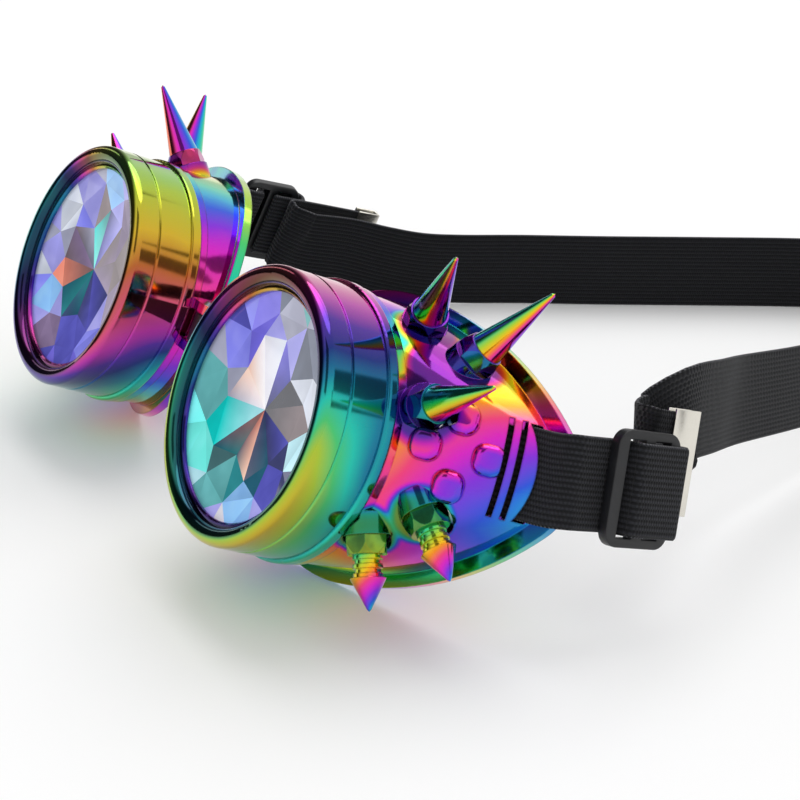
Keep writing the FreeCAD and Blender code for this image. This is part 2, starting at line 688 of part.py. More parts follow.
def bridge_pin():
    """Headed hinge pin of the right cup."""
    half = "(sizes.bridge_height / 2 + sizes.ear_gap + sizes.ear_thickness)"
    top = f"{half} + sizes.pin_head_height"
    body = turned("bridge_pin", [
        ("0", f"-{half}"), ("sizes.pin_radius", f"-{half}"), ("sizes.pin_radius", half),
        ("sizes.pin_head", half), ("sizes.pin_head * 0.7", top), ("0", top)])
    place = f"vector({PIN_PLACE}; 0; -sizes.bridge_depth)"
    upright = "rotation(vector(1; 0; 0); -90)"
    return keep(body, "right_bridge_pin", f"{BRIDGE_FRAME} * placement({place}; {upright})")


def slider_frame(side):
    """Slider's frame in the cup's frame: X along the strap, Y across it, Z outwards."""
    roll = math.radians(size("slider_turn"))
    along = V(0, math.sin(roll), -math.cos(roll))
    across = V(0, math.cos(roll), math.sin(roll))
    turn = FreeCAD.Rotation(along, across, V(1, 0, 0), "ZXY")
    place = V(wing_tip() + size("slider_clear"), size("slider_lift"), -size(f"{side}_slider_depth"))
    return FreeCAD.Placement(place, turn)


def strap_offset():
    """Middle of a strap that lies on a face of the slider, from the slider's middle plane."""
    return size("slider_thickness") / 2 + size("strap_clearance") + size("strap_thickness") / 2


def strap_slider(side):
    """Three-bar slider with round corners."""
    body = doc.addObject("PartDesign::Body", f"{side}_slider")
    half_long = "sizes.slider_length / 2"
    window = "(sizes.strap_width / 2 + sizes.strap_clearance)"
    half_wide = f"({window} + sizes.slider_side)"
    plan = new_sketch(body, f"{side}_slider_plan", "XY_Plane")
    outline(plan, [(f"-{half_long}", f"-{half_wide}"), (half_long, f"-{half_wide}"),
                   (half_long, half_wide), (f"-{half_long}", half_wide)])
    plate = body.newObject("PartDesign::Pad", f"{side}_slider_plate")
    plate.Profile = plan
    plate.SideType = "Symmetric"
    plate.setExpression("Length", "sizes.slider_thickness")
    doc.recompute()
    gaps = new_sketch(body, f"{side}_slider_gaps", "XY_Plane")
    near = "sizes.slider_bar / 2"
    far = f"({half_long} - sizes.slider_bar)"
    outline(gaps, [(near, f"-{window}"), (far, f"-{window}"), (far, window), (near, window)])
    outline(gaps, [(f"-{far}", f"-{window}"), (f"-{near}", f"-{window}"),
                   (f"-{near}", window), (f"-{far}", window)])
    windows = body.newObject("PartDesign::Pocket", f"{side}_slider_windows")
    windows.Profile = gaps
    windows.SideType = "Symmetric"
    windows.setExpression("Length", "2 * sizes.slider_thickness")
    limit = size("slider_length") / 2 - size("slider_bar") / 4
    rounded(body, f"{side}_slider_rounds", "sizes.slider_corner",
            lambda edge: abs(edge.BoundBox.ZLength - size("slider_thickness")) < TINY
            and abs(edge.CenterOfMass.x) > limit)
    body.Placement = cup_frame().multiply(slider_frame(side))
    body.Label = f"{side}_slider_source"
    return body


def strap_clip(side):
    """Folded steel clip round the strap's end, open towards the slider."""
    body = doc.addObject("PartDesign::Body", f"{side}_clip")
    end = f"(sizes.{side}_tail + sizes.clip_play + sizes.clip_plate)"
    start = f"({end} - sizes.clip_length)"
    level = ("-(sizes.slider_thickness / 2 + 2 * sizes.strap_clearance"
             " + sizes.strap_thickness + sizes.strap_thickness / 2)")
    inner = "(sizes.strap_thickness / 2 + sizes.clip_play)"
    outer = f"({inner} + sizes.clip_plate)"
    profile = new_sketch(body, f"{side}_clip_profile", "XZ_Plane")
    outline(profile, [
        (start, f"{level} - {outer}"), (end, f"{level} - {outer}"),
        (end, f"{level} + {outer}"), (start, f"{level} + {outer}"),
        (start, f"{level} + {inner}"), (f"{end} - sizes.clip_plate", f"{level} + {inner}"),
        (f"{end} - sizes.clip_plate", f"{level} - {inner}"), (start, f"{level} - {inner}")])
    fold = body.newObject("PartDesign::Pad", f"{side}_clip_fold")
    fold.Profile = profile
    fold.SideType = "Symmetric"
    fold.setExpression("Length", "sizes.band_width + 2 * sizes.clip_plate")
    lift = FreeCAD.Placement(V(0, size(f"{side}_tail_lift"), 0), FreeCAD.Rotation())
    body.Placement = cup_frame().multiply(slider_frame(side)).multiply(lift)
    body.Label = f"{side}_clip_source"
    return body


def ribbon(stations, width, thickness):
    """Flat strap through stations of (point, direction of its width)."""
    count = len(stations)
    sections = []
    for i, (point, across) in enumerate(stations):
        ahead = stations[min(i + 1, count - 1)][0] - stations[max(i - 1, 0)][0]
        side = V(across).normalize() * (width / 2)
        face = ahead.cross(side).normalize() * (thickness / 2)
        corners = [point + side + face, point - side + face, point - side - face, point + side - face]
        sections.append(Part.makePolygon(corners + [corners[0]]))
    return Part.makeLoft(sections, True, True)


def crossing_frame():
    """Frame of the strap where it slants through the wing's wall."""
    point, along, out = wing_point(wing_tip() - size("slot_inset"))
    lean = (along * size("slot_slant") + out).normalize()
    across = V(0, 1, 0)
    turn = FreeCAD.Rotation(lean, across, lean.cross(across), "ZXY")
    middle = point - out * size("cup_wall") / 2 + V(0, size("slot_lift"), 0)
    return FreeCAD.Placement(middle, turn)


def strap_crossing():
    """Cutter of the strap slot."""
    margin = 2 * size("strap_clearance")
    return slab(crossing_frame(), 5 * size("cup_wall"), size("strap_width") + margin,
                size("strap_thickness") + margin)


def front_strap_stations(side):
    """Front strap: out through the slot, over the rim, through the slider and round its rear bar."""
    point, along, out = wing_point(wing_tip() - size("slot_inset"))
    level_line = V(0, size("slot_lift"), 0)
    point += level_line
    half = size("strap_thickness") / 2
    lift = half + size("strap_clearance")
    wide = V(0, 1, 0)
    rim = rim_frame(1.0, 0.0)
    edge = wing_tip() + size("rim_lip")
    rim_back = rim.multVec(V(edge, 0, 0)) + level_line
    rim_front = rim.multVec(V(edge, 0, size("rim_thickness"))) + level_line
    level = strap_offset()
    hold = slider_frame(side)
    held = hold.Rotation.multVec(V(0, 1, 0))
    bar = size("slider_bar")
    length = size("slider_length")
    gap = (length / 2 - 1.5 * bar) / 2
    middle = -bar / 2 - gap
    turn = length / 2 - bar / 4

    def in_slider(along_strap, outwards):
        return hold.multVec(V(along_strap, 0, outwards)), held

    # The strap slants through the wall on the slot's own line
    half_wall = size("cup_wall") / 2
    reaches = (-half_wall - lift - size("strap_hem"), -half_wall - lift, half_wall + lift)
    stations = [(point + along * size("slot_slant") * reach + out * (reach - half_wall), wide)
                for reach in reaches]
    stations.append((rim_front + V(lift * 0.55, 0, lift * 0.9), wide))
    stations.append((V(max(rim_front.x, rim_back.x) + lift, rim_back.y, rim_back.z - lift), wide))
    stations.append(in_slider(-length / 2 - 0.6 * bar, -level))
    stations += [in_slider(*place) for place in (
        (middle - 0.8 * gap, -level), (middle - 0.3 * gap, -level / 2), (middle, 0.0),
        (middle + 0.3 * gap, level / 2), (middle + 0.8 * gap, level), (turn, level))]
    for step in range(1, 6):
        angle = math.radians(90 - 30 * step)
        stations.append(in_slider(turn + level * math.cos(angle), level * math.sin(angle)))
    stations += [in_slider(turn, -level), in_slider(0.0, -level)]
    return stations


def strap_end():
    """End of the strap that lies along the cup's inside, behind the vent slits."""
    front = size("ring_depth") + size("barrel_start")
    inset = size("cup_wall") + size("strap_clearance")
    deep = inset + size("strap_thickness")
    layer = flare(-inset, front + inset).cut(flare(-deep, front + deep))
    slot, along, out = wing_point(wing_tip() - size("slot_inset"))
    frame = wing_face_frame(slot.x - along.x * size("hem_inset"), size("slot_lift"))
    return layer.common(slab(frame, size("hem_length"), size("strap_width"), size("strap_width")))


def front_strap(side):
    """Elastic strap between the cup and the slider."""
    shape = ribbon(front_strap_stations(side), size("strap_width"), size("strap_thickness"))
    shape = shape.fuse(strap_end())
    return feature(shape, f"{side}_strap_source", cup_frame())


# Loop of the band's end behind a slider: along the strap, inwards from the tail, above the tail
RIGHT_LOOP = (V(5.2, 0.3, 0.2), V(4.0, 1.7, 0.6), V(4.4, 3.6, 1.2), V(7.0, 4.6, 2.2), V(11.0, 4.9, 3.6))
LEFT_LOOP = (V(5.2, 0.3, 0.0), V(4.0, 1.7, -0.1), V(4.4, 3.6, -0.3), V(7.0, 4.6, -0.6), V(11.0, 4.9, -1.0))
# Band behind the head, from the right loop round the back to the left one, measured from
# the point on the table below the middle of the lenses
BAND_ROUTE = (
    V(82.5, 77, 35.5), V(77.0, 88.5, 32.5), V(70.0, 100.5, 28.5), V(63.5, 121, 24.0), V(55.0, 146, 19.0),
    V(44.0, 174, 14.0), V(29.0, 200, 11.0), V(11.0, 214, 10.1), V(-5.0, 209, 9.9), V(-18.0, 192.4, 9.9),
    V(-32.0, 170, 9.9), V(-46.0, 147, 9.9), V(-57.5, 129, 9.9), V(-65.0, 115.5, 10.0), V(-71.0, 106, 10.4),
    V(-77.0, 97.5, 12.0), V(-82.0, 89, 14.5))
# Ends of the right and left loop for which that course is given
RIGHT_END = V(83.5, 68.7, 32.5)
LEFT_END = V(-85.9, 79.5, 16.4)


def head_band_stations():
    """Both looped ends of the band and its way round the head."""
    ground = V(0, -size("lens_ahead"), 0)
    below = strap_offset() + size("strap_thickness") + size("strap_clearance")
    upright = V(0, 0, 1)
    unit = size("band_reach") / max(place.y for place in BAND_ROUTE)

    def end_stations(side, loop):
        frame = cup_frame().multiply(slider_frame(side))
        held = frame.Rotation.multVec(V(0, 1, 0))
        lift = size(f"{side}_tail_lift")
        tail = size(f"{side}_tail")
        places = [V(tail, lift, -below), V((tail + loop[0].x * unit) / 2, lift, -below)]
        places += [V(place.x * unit, lift + place.z * unit, -below - place.y * unit) for place in loop]
        flip = V(1, 1, 1) if side == "right" else V(-1, 1, 1)
        return [(V(p.x * flip.x, p.y, p.z), V(held.x * flip.x, held.y, held.z))
                for p in (frame.multVec(place) for place in places)]

    right = end_stations("right", RIGHT_LOOP)
    left = end_stations("left", LEFT_LOOP)
    # The course moves along with the loops' ends
    right_shift = right[-1][0] - ground - RIGHT_END * unit
    left_shift = left[-1][0] - ground - LEFT_END * unit
    route = []
    last = len(BAND_ROUTE) - 1
    for i, place in enumerate(BAND_ROUTE):
        shift = right_shift * (1 - i / last) + left_shift * (i / last)
        share = max(0.0, 1 - min(i, last - i) / 3)
        lean = right[-1][1] if i < last / 2 else left[-1][1]
        route.append((place * unit + ground + shift, lean * share + upright * (1 - share)))
    return right + route + left[::-1]


def smooth(stations, steps):
    """More stations on a smooth curve through the given ones."""
    made = []
    last = len(stations) - 1

    def spline(p0, p1, p2, p3, part):
        return (p1 * 2 + (p2 - p0) * part + (p0 * 2 - p1 * 5 + p2 * 4 - p3) * part ** 2
                + (p1 * 3 - p0 - p2 * 3 + p3) * part ** 3) * 0.5

    for i in range(last):
        around = [stations[min(max(j, 0), last)] for j in (i - 1, i, i + 1, i + 2)]
        for step in range(steps):
            made.append((spline(*[item[0] for item in around], step / steps),
                         spline(*[item[1] for item in around], step / steps)))
    return made + [stations[-1]]


def head_band():
    """Elastic band behind the head, with its looped ends."""
    shape = ribbon(smooth(head_band_stations(), 3), size("band_width"), size("strap_thickness"))
    return keep(feature(shape, "head_band", FreeCAD.Placement()), "head_band")


right_pieces = [eye_cup(), lens_ring(), lens(), lens_gasket(), spike_nuts(), bridge_pin()] + spikes()
STRAP_PIECES = ((strap_slider, "strap_slider"), (strap_clip, "strap_clip"), (front_strap, "front_strap"))
for source, noun in STRAP_PIECES:
    right_pieces.append(keep(source("right"), f"right_{noun}"))
    mirrored(source("left"), f"left_{noun}")
for piece in right_pieces[:-len(STRAP_PIECES)]:
    mirrored(piece, piece.Label.replace("right_", "left_"))
nose_bridge()
head_band()
doc.recompute()

for item in doc.Objects:
    bad = [word for word in item.State if word in ("Invalid", "Error")]
    if bad:
        raise RuntimeError(f"{item.Label} is {bad}")
for piece in pieces:
    if piece.Shape.isNull() or not piece.Shape.isValid():
        raise RuntimeError(f"{piece.Label} has no valid shape")

os.makedirs("parts", exist_ok=True)
whole = FreeCAD.BoundBox()
for piece in pieces:
    piece.Shape.exportStep(f"parts/{piece.Label}.step")
    whole.add(piece.Shape.BoundBox)
    print(f"{piece.Label}: {len(piece.Shape.Solids)} solids, {piece.Shape.Volume:.1f} mm3")
print(f"whole part: {whole}")
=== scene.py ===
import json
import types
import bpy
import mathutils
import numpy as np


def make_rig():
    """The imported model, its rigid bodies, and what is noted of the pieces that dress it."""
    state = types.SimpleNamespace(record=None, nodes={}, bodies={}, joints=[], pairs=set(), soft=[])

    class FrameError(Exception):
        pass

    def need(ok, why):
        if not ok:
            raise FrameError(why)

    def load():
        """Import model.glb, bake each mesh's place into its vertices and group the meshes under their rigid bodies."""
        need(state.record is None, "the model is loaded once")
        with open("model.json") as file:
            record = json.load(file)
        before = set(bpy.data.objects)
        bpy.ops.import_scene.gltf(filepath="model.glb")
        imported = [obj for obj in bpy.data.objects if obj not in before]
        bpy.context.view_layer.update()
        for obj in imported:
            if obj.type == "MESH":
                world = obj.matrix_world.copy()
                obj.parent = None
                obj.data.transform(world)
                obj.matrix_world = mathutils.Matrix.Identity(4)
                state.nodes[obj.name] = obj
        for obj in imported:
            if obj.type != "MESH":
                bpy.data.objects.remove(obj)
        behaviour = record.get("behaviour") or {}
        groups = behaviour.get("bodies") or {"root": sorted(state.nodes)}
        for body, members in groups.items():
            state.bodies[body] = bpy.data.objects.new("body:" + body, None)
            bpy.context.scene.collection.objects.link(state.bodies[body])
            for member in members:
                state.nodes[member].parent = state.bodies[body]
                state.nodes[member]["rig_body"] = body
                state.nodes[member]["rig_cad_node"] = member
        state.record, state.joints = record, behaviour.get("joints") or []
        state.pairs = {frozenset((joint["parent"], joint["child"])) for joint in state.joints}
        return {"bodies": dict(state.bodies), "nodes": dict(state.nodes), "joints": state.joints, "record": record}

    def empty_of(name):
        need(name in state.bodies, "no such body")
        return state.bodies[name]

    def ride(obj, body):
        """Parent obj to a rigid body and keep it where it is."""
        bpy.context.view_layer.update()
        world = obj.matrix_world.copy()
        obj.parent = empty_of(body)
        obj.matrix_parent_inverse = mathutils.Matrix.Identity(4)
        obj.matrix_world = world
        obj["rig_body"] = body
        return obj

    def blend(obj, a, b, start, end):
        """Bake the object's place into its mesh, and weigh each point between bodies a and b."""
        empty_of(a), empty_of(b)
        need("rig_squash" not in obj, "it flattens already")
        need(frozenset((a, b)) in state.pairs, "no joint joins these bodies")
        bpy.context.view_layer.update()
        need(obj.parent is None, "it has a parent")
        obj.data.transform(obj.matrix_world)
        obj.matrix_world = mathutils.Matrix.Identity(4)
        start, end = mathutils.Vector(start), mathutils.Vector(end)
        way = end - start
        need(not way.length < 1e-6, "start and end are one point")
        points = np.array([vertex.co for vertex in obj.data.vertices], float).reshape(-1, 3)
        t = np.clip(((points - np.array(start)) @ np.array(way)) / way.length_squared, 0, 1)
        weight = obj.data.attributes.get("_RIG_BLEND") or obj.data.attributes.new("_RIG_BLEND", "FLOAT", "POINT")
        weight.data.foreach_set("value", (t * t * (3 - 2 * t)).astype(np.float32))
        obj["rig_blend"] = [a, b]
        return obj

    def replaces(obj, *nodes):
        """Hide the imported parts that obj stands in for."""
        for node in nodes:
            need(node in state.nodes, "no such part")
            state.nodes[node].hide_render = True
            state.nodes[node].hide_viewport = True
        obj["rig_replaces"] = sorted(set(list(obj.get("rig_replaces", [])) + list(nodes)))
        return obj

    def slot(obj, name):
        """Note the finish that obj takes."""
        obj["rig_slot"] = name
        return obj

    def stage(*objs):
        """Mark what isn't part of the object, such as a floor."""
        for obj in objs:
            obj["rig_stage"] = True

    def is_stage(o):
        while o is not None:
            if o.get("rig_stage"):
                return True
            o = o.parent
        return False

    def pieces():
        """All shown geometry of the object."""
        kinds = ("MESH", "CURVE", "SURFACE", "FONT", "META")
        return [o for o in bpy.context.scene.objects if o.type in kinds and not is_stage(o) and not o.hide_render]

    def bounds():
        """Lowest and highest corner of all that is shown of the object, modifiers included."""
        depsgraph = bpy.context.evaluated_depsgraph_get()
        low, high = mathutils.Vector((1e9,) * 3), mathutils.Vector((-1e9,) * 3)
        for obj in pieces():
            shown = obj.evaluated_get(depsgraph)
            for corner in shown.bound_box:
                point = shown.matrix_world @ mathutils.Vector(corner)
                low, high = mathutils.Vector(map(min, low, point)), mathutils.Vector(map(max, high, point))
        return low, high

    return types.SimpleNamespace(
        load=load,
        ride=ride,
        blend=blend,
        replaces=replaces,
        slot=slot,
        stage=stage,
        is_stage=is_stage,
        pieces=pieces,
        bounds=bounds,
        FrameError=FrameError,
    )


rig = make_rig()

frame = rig.load()

import json
import logging
import math
import random
from dataclasses import dataclass, field
from enum import Enum
from typing import Any, ClassVar, Iterable, Sequence

import bmesh
import bpy
from mathutils import Matrix, Vector

CAD_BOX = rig.bounds()
LOG = logging.getLogger("goggles")
SIZE_FILE = "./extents.json"
MM = 0.001
FULL_TURN = 2 * math.pi
WEAVE_MAP = "weave"
TINT_LAYER = "facet_tint"
COURSE_STEPS = 4  # finer stations for each station of a strap
WOVEN_SHRINK = 0.1  # mm by which a woven strap is thinner than its solid
LENS_AHEAD = 100.2  # mm from the part's middle forwards to the lenses' centres
LENS_HEIGHT = 39.7  # mm from the table up to the lenses' centres
RIM_DEPTH = 30.5  # mm from a lens back to the rim plane of its cup
RIM_LEAN = 15.1  # degrees by which the rim plane leans back along the wing

Colour = tuple[float, float, float]
Triple = tuple[float, float, float]
Span = tuple[float, float]
Station = tuple[Vector, Vector]
Stops = Sequence[tuple[float, Colour]]

WHITE: Colour = (1.0, 1.0, 1.0)
BLACK: Colour = (0.0, 0.0, 0.0)


def linear(red: int, green: int, blue: int) -> Colour:
    """Linear colour of three 8-bit display values.

    Args:
        red: Display value of red, 0 to 255.
        green: Display value of green, 0 to 255.
        blue: Display value of blue, 0 to 255.

    Returns:
        The scene-linear colour.
    """
    def channel(value: int) -> float:
        """One channel, from display to linear."""
        share = value / 255
        return share / 12.92 if share <= 0.04045 else ((share + 0.055) / 1.055) ** 2.4
    return channel(red), channel(green), channel(blue)


class Signal:
    """A shader socket: Python operators on it add Math nodes."""

    def __init__(self, graph: "Graph", socket: bpy.types.NodeSocket) -> None:
        """Wraps one output socket of a graph."""
        self.graph = graph
        self.socket = socket

    def __add__(self, other: Any) -> "Signal":
        """Sum."""
        return self.graph.math("ADD", self, other)

    def __radd__(self, other: Any) -> "Signal":
        """Sum, reflected."""
        return self.graph.math("ADD", other, self)

    def __sub__(self, other: Any) -> "Signal":
        """Difference."""
        return self.graph.math("SUBTRACT", self, other)

    def __rsub__(self, other: Any) -> "Signal":
        """Difference, reflected."""
        return self.graph.math("SUBTRACT", other, self)

    def __mul__(self, other: Any) -> "Signal":
        """Product."""
        return self.graph.math("MULTIPLY", self, other)

    def __rmul__(self, other: Any) -> "Signal":
        """Product, reflected."""
        return self.graph.math("MULTIPLY", other, self)

    def __truediv__(self, other: Any) -> "Signal":
        """Quotient."""
        return self.graph.math("DIVIDE", self, other)

    def __rtruediv__(self, other: Any) -> "Signal":
        """Quotient, reflected."""
        return self.graph.math("DIVIDE", other, self)

    def __pow__(self, other: Any) -> "Signal":
        """Power."""
        return self.graph.math("POWER", self, other)

    def __rpow__(self, other: Any) -> "Signal":
        """Power, reflected."""
        return self.graph.math("POWER", other, self)

    def __abs__(self) -> "Signal":
        """Absolute value."""
        return self.graph.math("ABSOLUTE", self)

    def fraction(self) -> "Signal":
        """Part after the decimal point, so that a phase repeats."""
        return self.graph.math("FRACT", self)

    def wave(self) -> "Signal":
        """Wave from 0 to 1 and back, once for each whole number."""
        return self.graph.math("SINE", self * FULL_TURN) * 0.5 + 0.5


class Graph:
    """The node tree of one finish, with one method that makes every node."""

    def __init__(self, tree: bpy.types.NodeTree) -> None:
        """Wraps a node tree."""
        self.tree = tree

    def node(self, kind: str, settings: dict[str, Any] | None = None,
             sockets: dict[int | str, Any] | None = None) -> bpy.types.Node:
        """Makes a node.

        Args:
            kind: Blender's type name of the node.
            settings: Attributes of the node; "stops" are a ramp's (place, colour) pairs.
            sockets: Values or signals of its inputs, by name or number.

        Returns:
            The new node.
        """
        made = self.tree.nodes.new(kind)
        for name, value in (settings or {}).items():
            if name == "stops":
                self._set_stops(made.color_ramp, value)
            else:
                setattr(made, name, value)
        for name, value in (sockets or {}).items():
            if isinstance(value, Signal):
                self.tree.links.new(value.socket, made.inputs[name])
            else:
                made.inputs[name].default_value = value
        return made

    @staticmethod
    def _set_stops(ramp: bpy.types.ColorRamp, stops: Stops) -> None:
        """Lays out the stops of a colour ramp.

        Args:
            ramp: The ramp.
            stops: Its (place, colour) pairs.
        """
        while len(ramp.elements) < len(stops):
            ramp.elements.new(1.0)
        for element, (place, colour) in zip(ramp.elements, stops):
            element.position = place
            element.color = (*colour, 1.0)

    def out(self, node: bpy.types.Node, name: int | str = 0) -> Signal:
        """One output of a node as a signal."""
        return Signal(self, node.outputs[name])

    def place(self) -> Signal:
        """The place on the piece."""
        return self.out(self.node("ShaderNodeTexCoord"), "Object")

    def facing(self) -> Signal:
        """The way the piece's surface faces."""
        return self.out(self.node("ShaderNodeTexCoord"), "Normal")

    def math(self, operation: str, *values: Any) -> Signal:
        """A Math node on values and signals."""
        sockets = dict(enumerate(values))
        return self.out(self.node("ShaderNodeMath", {"operation": operation}, sockets))

    def vector(self, operation: str, first: Signal, second: Any, name: int | str = 0) -> Signal:
        """A Vector Math node on a vector signal and a signal or fixed vector."""
        made = self.node("ShaderNodeVectorMath", {"operation": operation}, {0: first, 1: second})
        return self.out(made, name)

    def dot(self, vector: Signal, other: Any) -> Signal:
        """Scalar product of a vector signal with a signal or fixed direction."""
        return self.vector("DOT_PRODUCT", vector, other, "Value")

    def ramp(self, factor: Signal, stops: Stops) -> Signal:
        """A colour from a ramp."""
        return self.out(self.node("ShaderNodeValToRGB", {"stops": stops}, {0: factor}), "Color")

    def mix(self, factor: Any, first: Any, second: Any, mode: str = "MIX") -> Signal:
        """Two colours mixed by a factor.

        Args:
            factor: Share of the second colour.
            first: A colour or a signal.
            second: A colour or a signal.
            mode: Blender's name of the way they are mixed.

        Returns:
            The mixed colour.
        """
        colours = [(*item, 1.0) if isinstance(item, tuple) else item for item in (first, second)]
        made = self.node("ShaderNodeMix", {"data_type": "RGBA", "blend_type": mode},
                         {0: factor, 6: colours[0], 7: colours[1]})
        return self.out(made, 2)

    def step(self, value: Signal, low: float, high: float) -> Signal:
        """Smooth step from 0 at low to 1 at high."""
        made = self.node("ShaderNodeMapRange", {"interpolation_type": "SMOOTHSTEP"},
                         {"Value": value, "From Min": low, "From Max": high})
        return self.out(made)

    def noise(self, vector: Signal, scale: float, detail: float = 2.0) -> Signal:
        """Fine irregular variation from 0 to 1."""
        sockets = {"Vector": vector, "Scale": scale, "Detail": detail}
        return self.out(self.node("ShaderNodeTexNoise", {}, sockets))

    def rounded(self, reach: float, samples: int = 4) -> Signal:
        """Normal of the surface with its edges rounded over a reach in mm."""
        return self.out(self.node("ShaderNodeBevel", {"samples": samples}, {"Radius": reach * MM}))

    def bump(self, height: Signal, depth: float, strength: float, base: Signal | None = None) -> Signal:
        """Normal of a bumpy surface.

        Args:
            height: The bumps, from 0 to 1.
            depth: Their depth in mm.
            strength: Their share in the normal.
            base: The normal under them, where it isn't the surface's own.

        Returns:
            The normal.
        """
        sockets = {"Height": height, "Distance": depth * MM, "Strength": strength}
        if base is not None:
            sockets["Normal"] = base
        return self.out(self.node("ShaderNodeBump", {}, sockets))

    def link(self, signal: Signal, shader: bpy.types.Node, socket: str) -> None:
        """Feeds a signal into a shader's socket."""
        self.tree.links.new(signal.socket, shader.inputs[socket])


def settle(shader: bpy.types.Node, values: dict[str, Any]) -> None:
    """Sets what is the same all over a surface on the shader's own sockets."""
    for name, value in values.items():
        shader.inputs[name].default_value = value


@dataclass(frozen=True)
class Finish:
    """A finish with its own node tree."""

    name: str

    def material(self) -> bpy.types.Material:
        """Makes the finish's material.

        Returns:
            The new material.
        """
        made = bpy.data.materials.new(self.name)
        made.use_nodes = True
        self.lay(Graph(made.node_tree), made.node_tree.nodes["Principled BSDF"])
        return made

    def lay(self, graph: Graph, shader: bpy.types.Node) -> None:
        """Lays the finish's nodes; each finish has its own way."""
        raise NotImplementedError


RAINBOW_PLACES = (0.00, 0.08, 0.17, 0.27, 0.37, 0.47, 0.57, 0.67, 0.77, 0.88, 1.00)


def rainbow(*colours: Colour) -> Stops:
    """Stops of a rainbow that closes in the colour it starts with."""
    return tuple(zip(RAINBOW_PLACES, (*colours, colours[0])))


RAINBOW = rainbow(
    linear(236, 190, 22), linear(240, 138, 28), linear(236, 62, 120), linear(214, 30, 190),
    linear(132, 44, 214), linear(42, 84, 214), linear(16, 168, 206), linear(24, 196, 160),
    linear(72, 200, 110), linear(170, 206, 48))
RING_RAINBOW = rainbow(
    linear(206, 170, 40), linear(176, 92, 40), linear(206, 74, 120), linear(178, 48, 160),
    linear(78, 40, 150), linear(22, 44, 120), linear(12, 122, 150), linear(28, 188, 168),
    linear(70, 190, 110), linear(164, 190, 52))
# Colour of painted shade, mixed into the plating where it stands in for shade and dark reflections.
PAINTED_SHADE_COLOUR = linear(14, 10, 26)


@dataclass(frozen=True)
class Plating(Finish):
    """Mirror plating with a fine haze and soft edges; its kinds differ in how the rainbow runs."""

    HAZE_SCALE: ClassVar[float] = 900.0
    HAZE_DETAIL: ClassVar[float] = 4.0
    HAZE_SHARE: ClassVar[float] = 0.06
    EDGE_ROUND: ClassVar[float] = 0.35
    GLOSS: ClassVar[dict[str, float]] = {"Metallic": 1.0, "Coat Weight": 0.35, "Coat Roughness": 0.03}

    def plate(self, graph: Graph, shader: bpy.types.Node, place: Signal, colour: Signal,
              roughness: float) -> None:
        """Turns a shader into mirror plating.

        Args:
            graph: The finish's nodes.
            shader: The shader.
            place: The place on the piece.
            colour: The plating's colour.
            roughness: The least roughness of its surface.
        """
        haze = graph.noise(place, self.HAZE_SCALE, self.HAZE_DETAIL)
        graph.link(colour, shader, "Base Color")
        graph.link(haze * self.HAZE_SHARE + roughness, shader, "Roughness")
        settle(shader, self.GLOSS)
        graph.link(graph.rounded(self.EDGE_ROUND), shader, "Normal")


@dataclass(frozen=True)
class SpikePlating(Plating):
    """Plating of spikes, studs and nuts: the rainbow runs with facing and place, and may be darkened by painted shade.
    """

    phase: float
    anchor: Triple
    by_normal: Triple
    by_place: Triple = (0.0, 0.0, 0.0)
    waver: float = 0.05
    waver_scale: float = 60.0
    roughness: float = 0.07
    shade: float = 0.0
    cloud_scale: float = 320.0
    cloud_edge: Span = (0.3, 0.7)
    cloud_share: float = 0.4

    def lay(self, graph: Graph, shader: bpy.types.Node) -> None:
        """Lays the rainbow, its waver and the painted shade.

        Args:
            graph: The finish's nodes.
            shader: The shader.
        """
        place = graph.place()
        start = self.phase - Vector(self.by_place).dot(Vector(self.anchor))
        drift = graph.noise(place, self.waver_scale) - 0.5
        turn = graph.dot(graph.facing(), self.by_normal) + graph.dot(place, self.by_place) + start
        colour = graph.ramp((turn + drift * self.waver).fraction(), RAINBOW)
        # Painted shade: the colour is darkened towards the shade colour, partly in soft clouds; the nuts use it.
        if self.shade:
            cloud = graph.step(graph.noise(place, self.cloud_scale), *self.cloud_edge)
            dusk = cloud * self.shade * self.cloud_share + self.shade * (1 - self.cloud_share)
            colour = graph.mix(dusk, colour, PAINTED_SHADE_COLOUR)
        self.plate(graph, shader, place, colour, self.roughness)


@dataclass(frozen=True)
class CupAxes:
    """Heart of a cup with the ways along its wing, across it and out of its glass."""

    heart: Triple
    along: Triple
    across: Triple
    out: Triple

    def split(self, graph: Graph, place: Signal) -> list[Signal]:
        """A place as its lengths along, across and out of the cup, in metres."""
        centred = graph.vector("SUBTRACT", place, self.heart)
        return [graph.dot(centred, way) for way in (self.along, self.across, self.out)]


@dataclass(frozen=True)
class RingHue:
    """How the rainbow lies on a ring, in turns of the rainbow.

    The phase is that of the ring's +X side at half height. Slope and bend run with the height, far_lift
    towards -X, band_run along the band and lip_run out over the lip, both per metre.
    """

    phase: float
    slope: float
    bend: float
    far_lift: float
    band_run: float
    lip_run: float


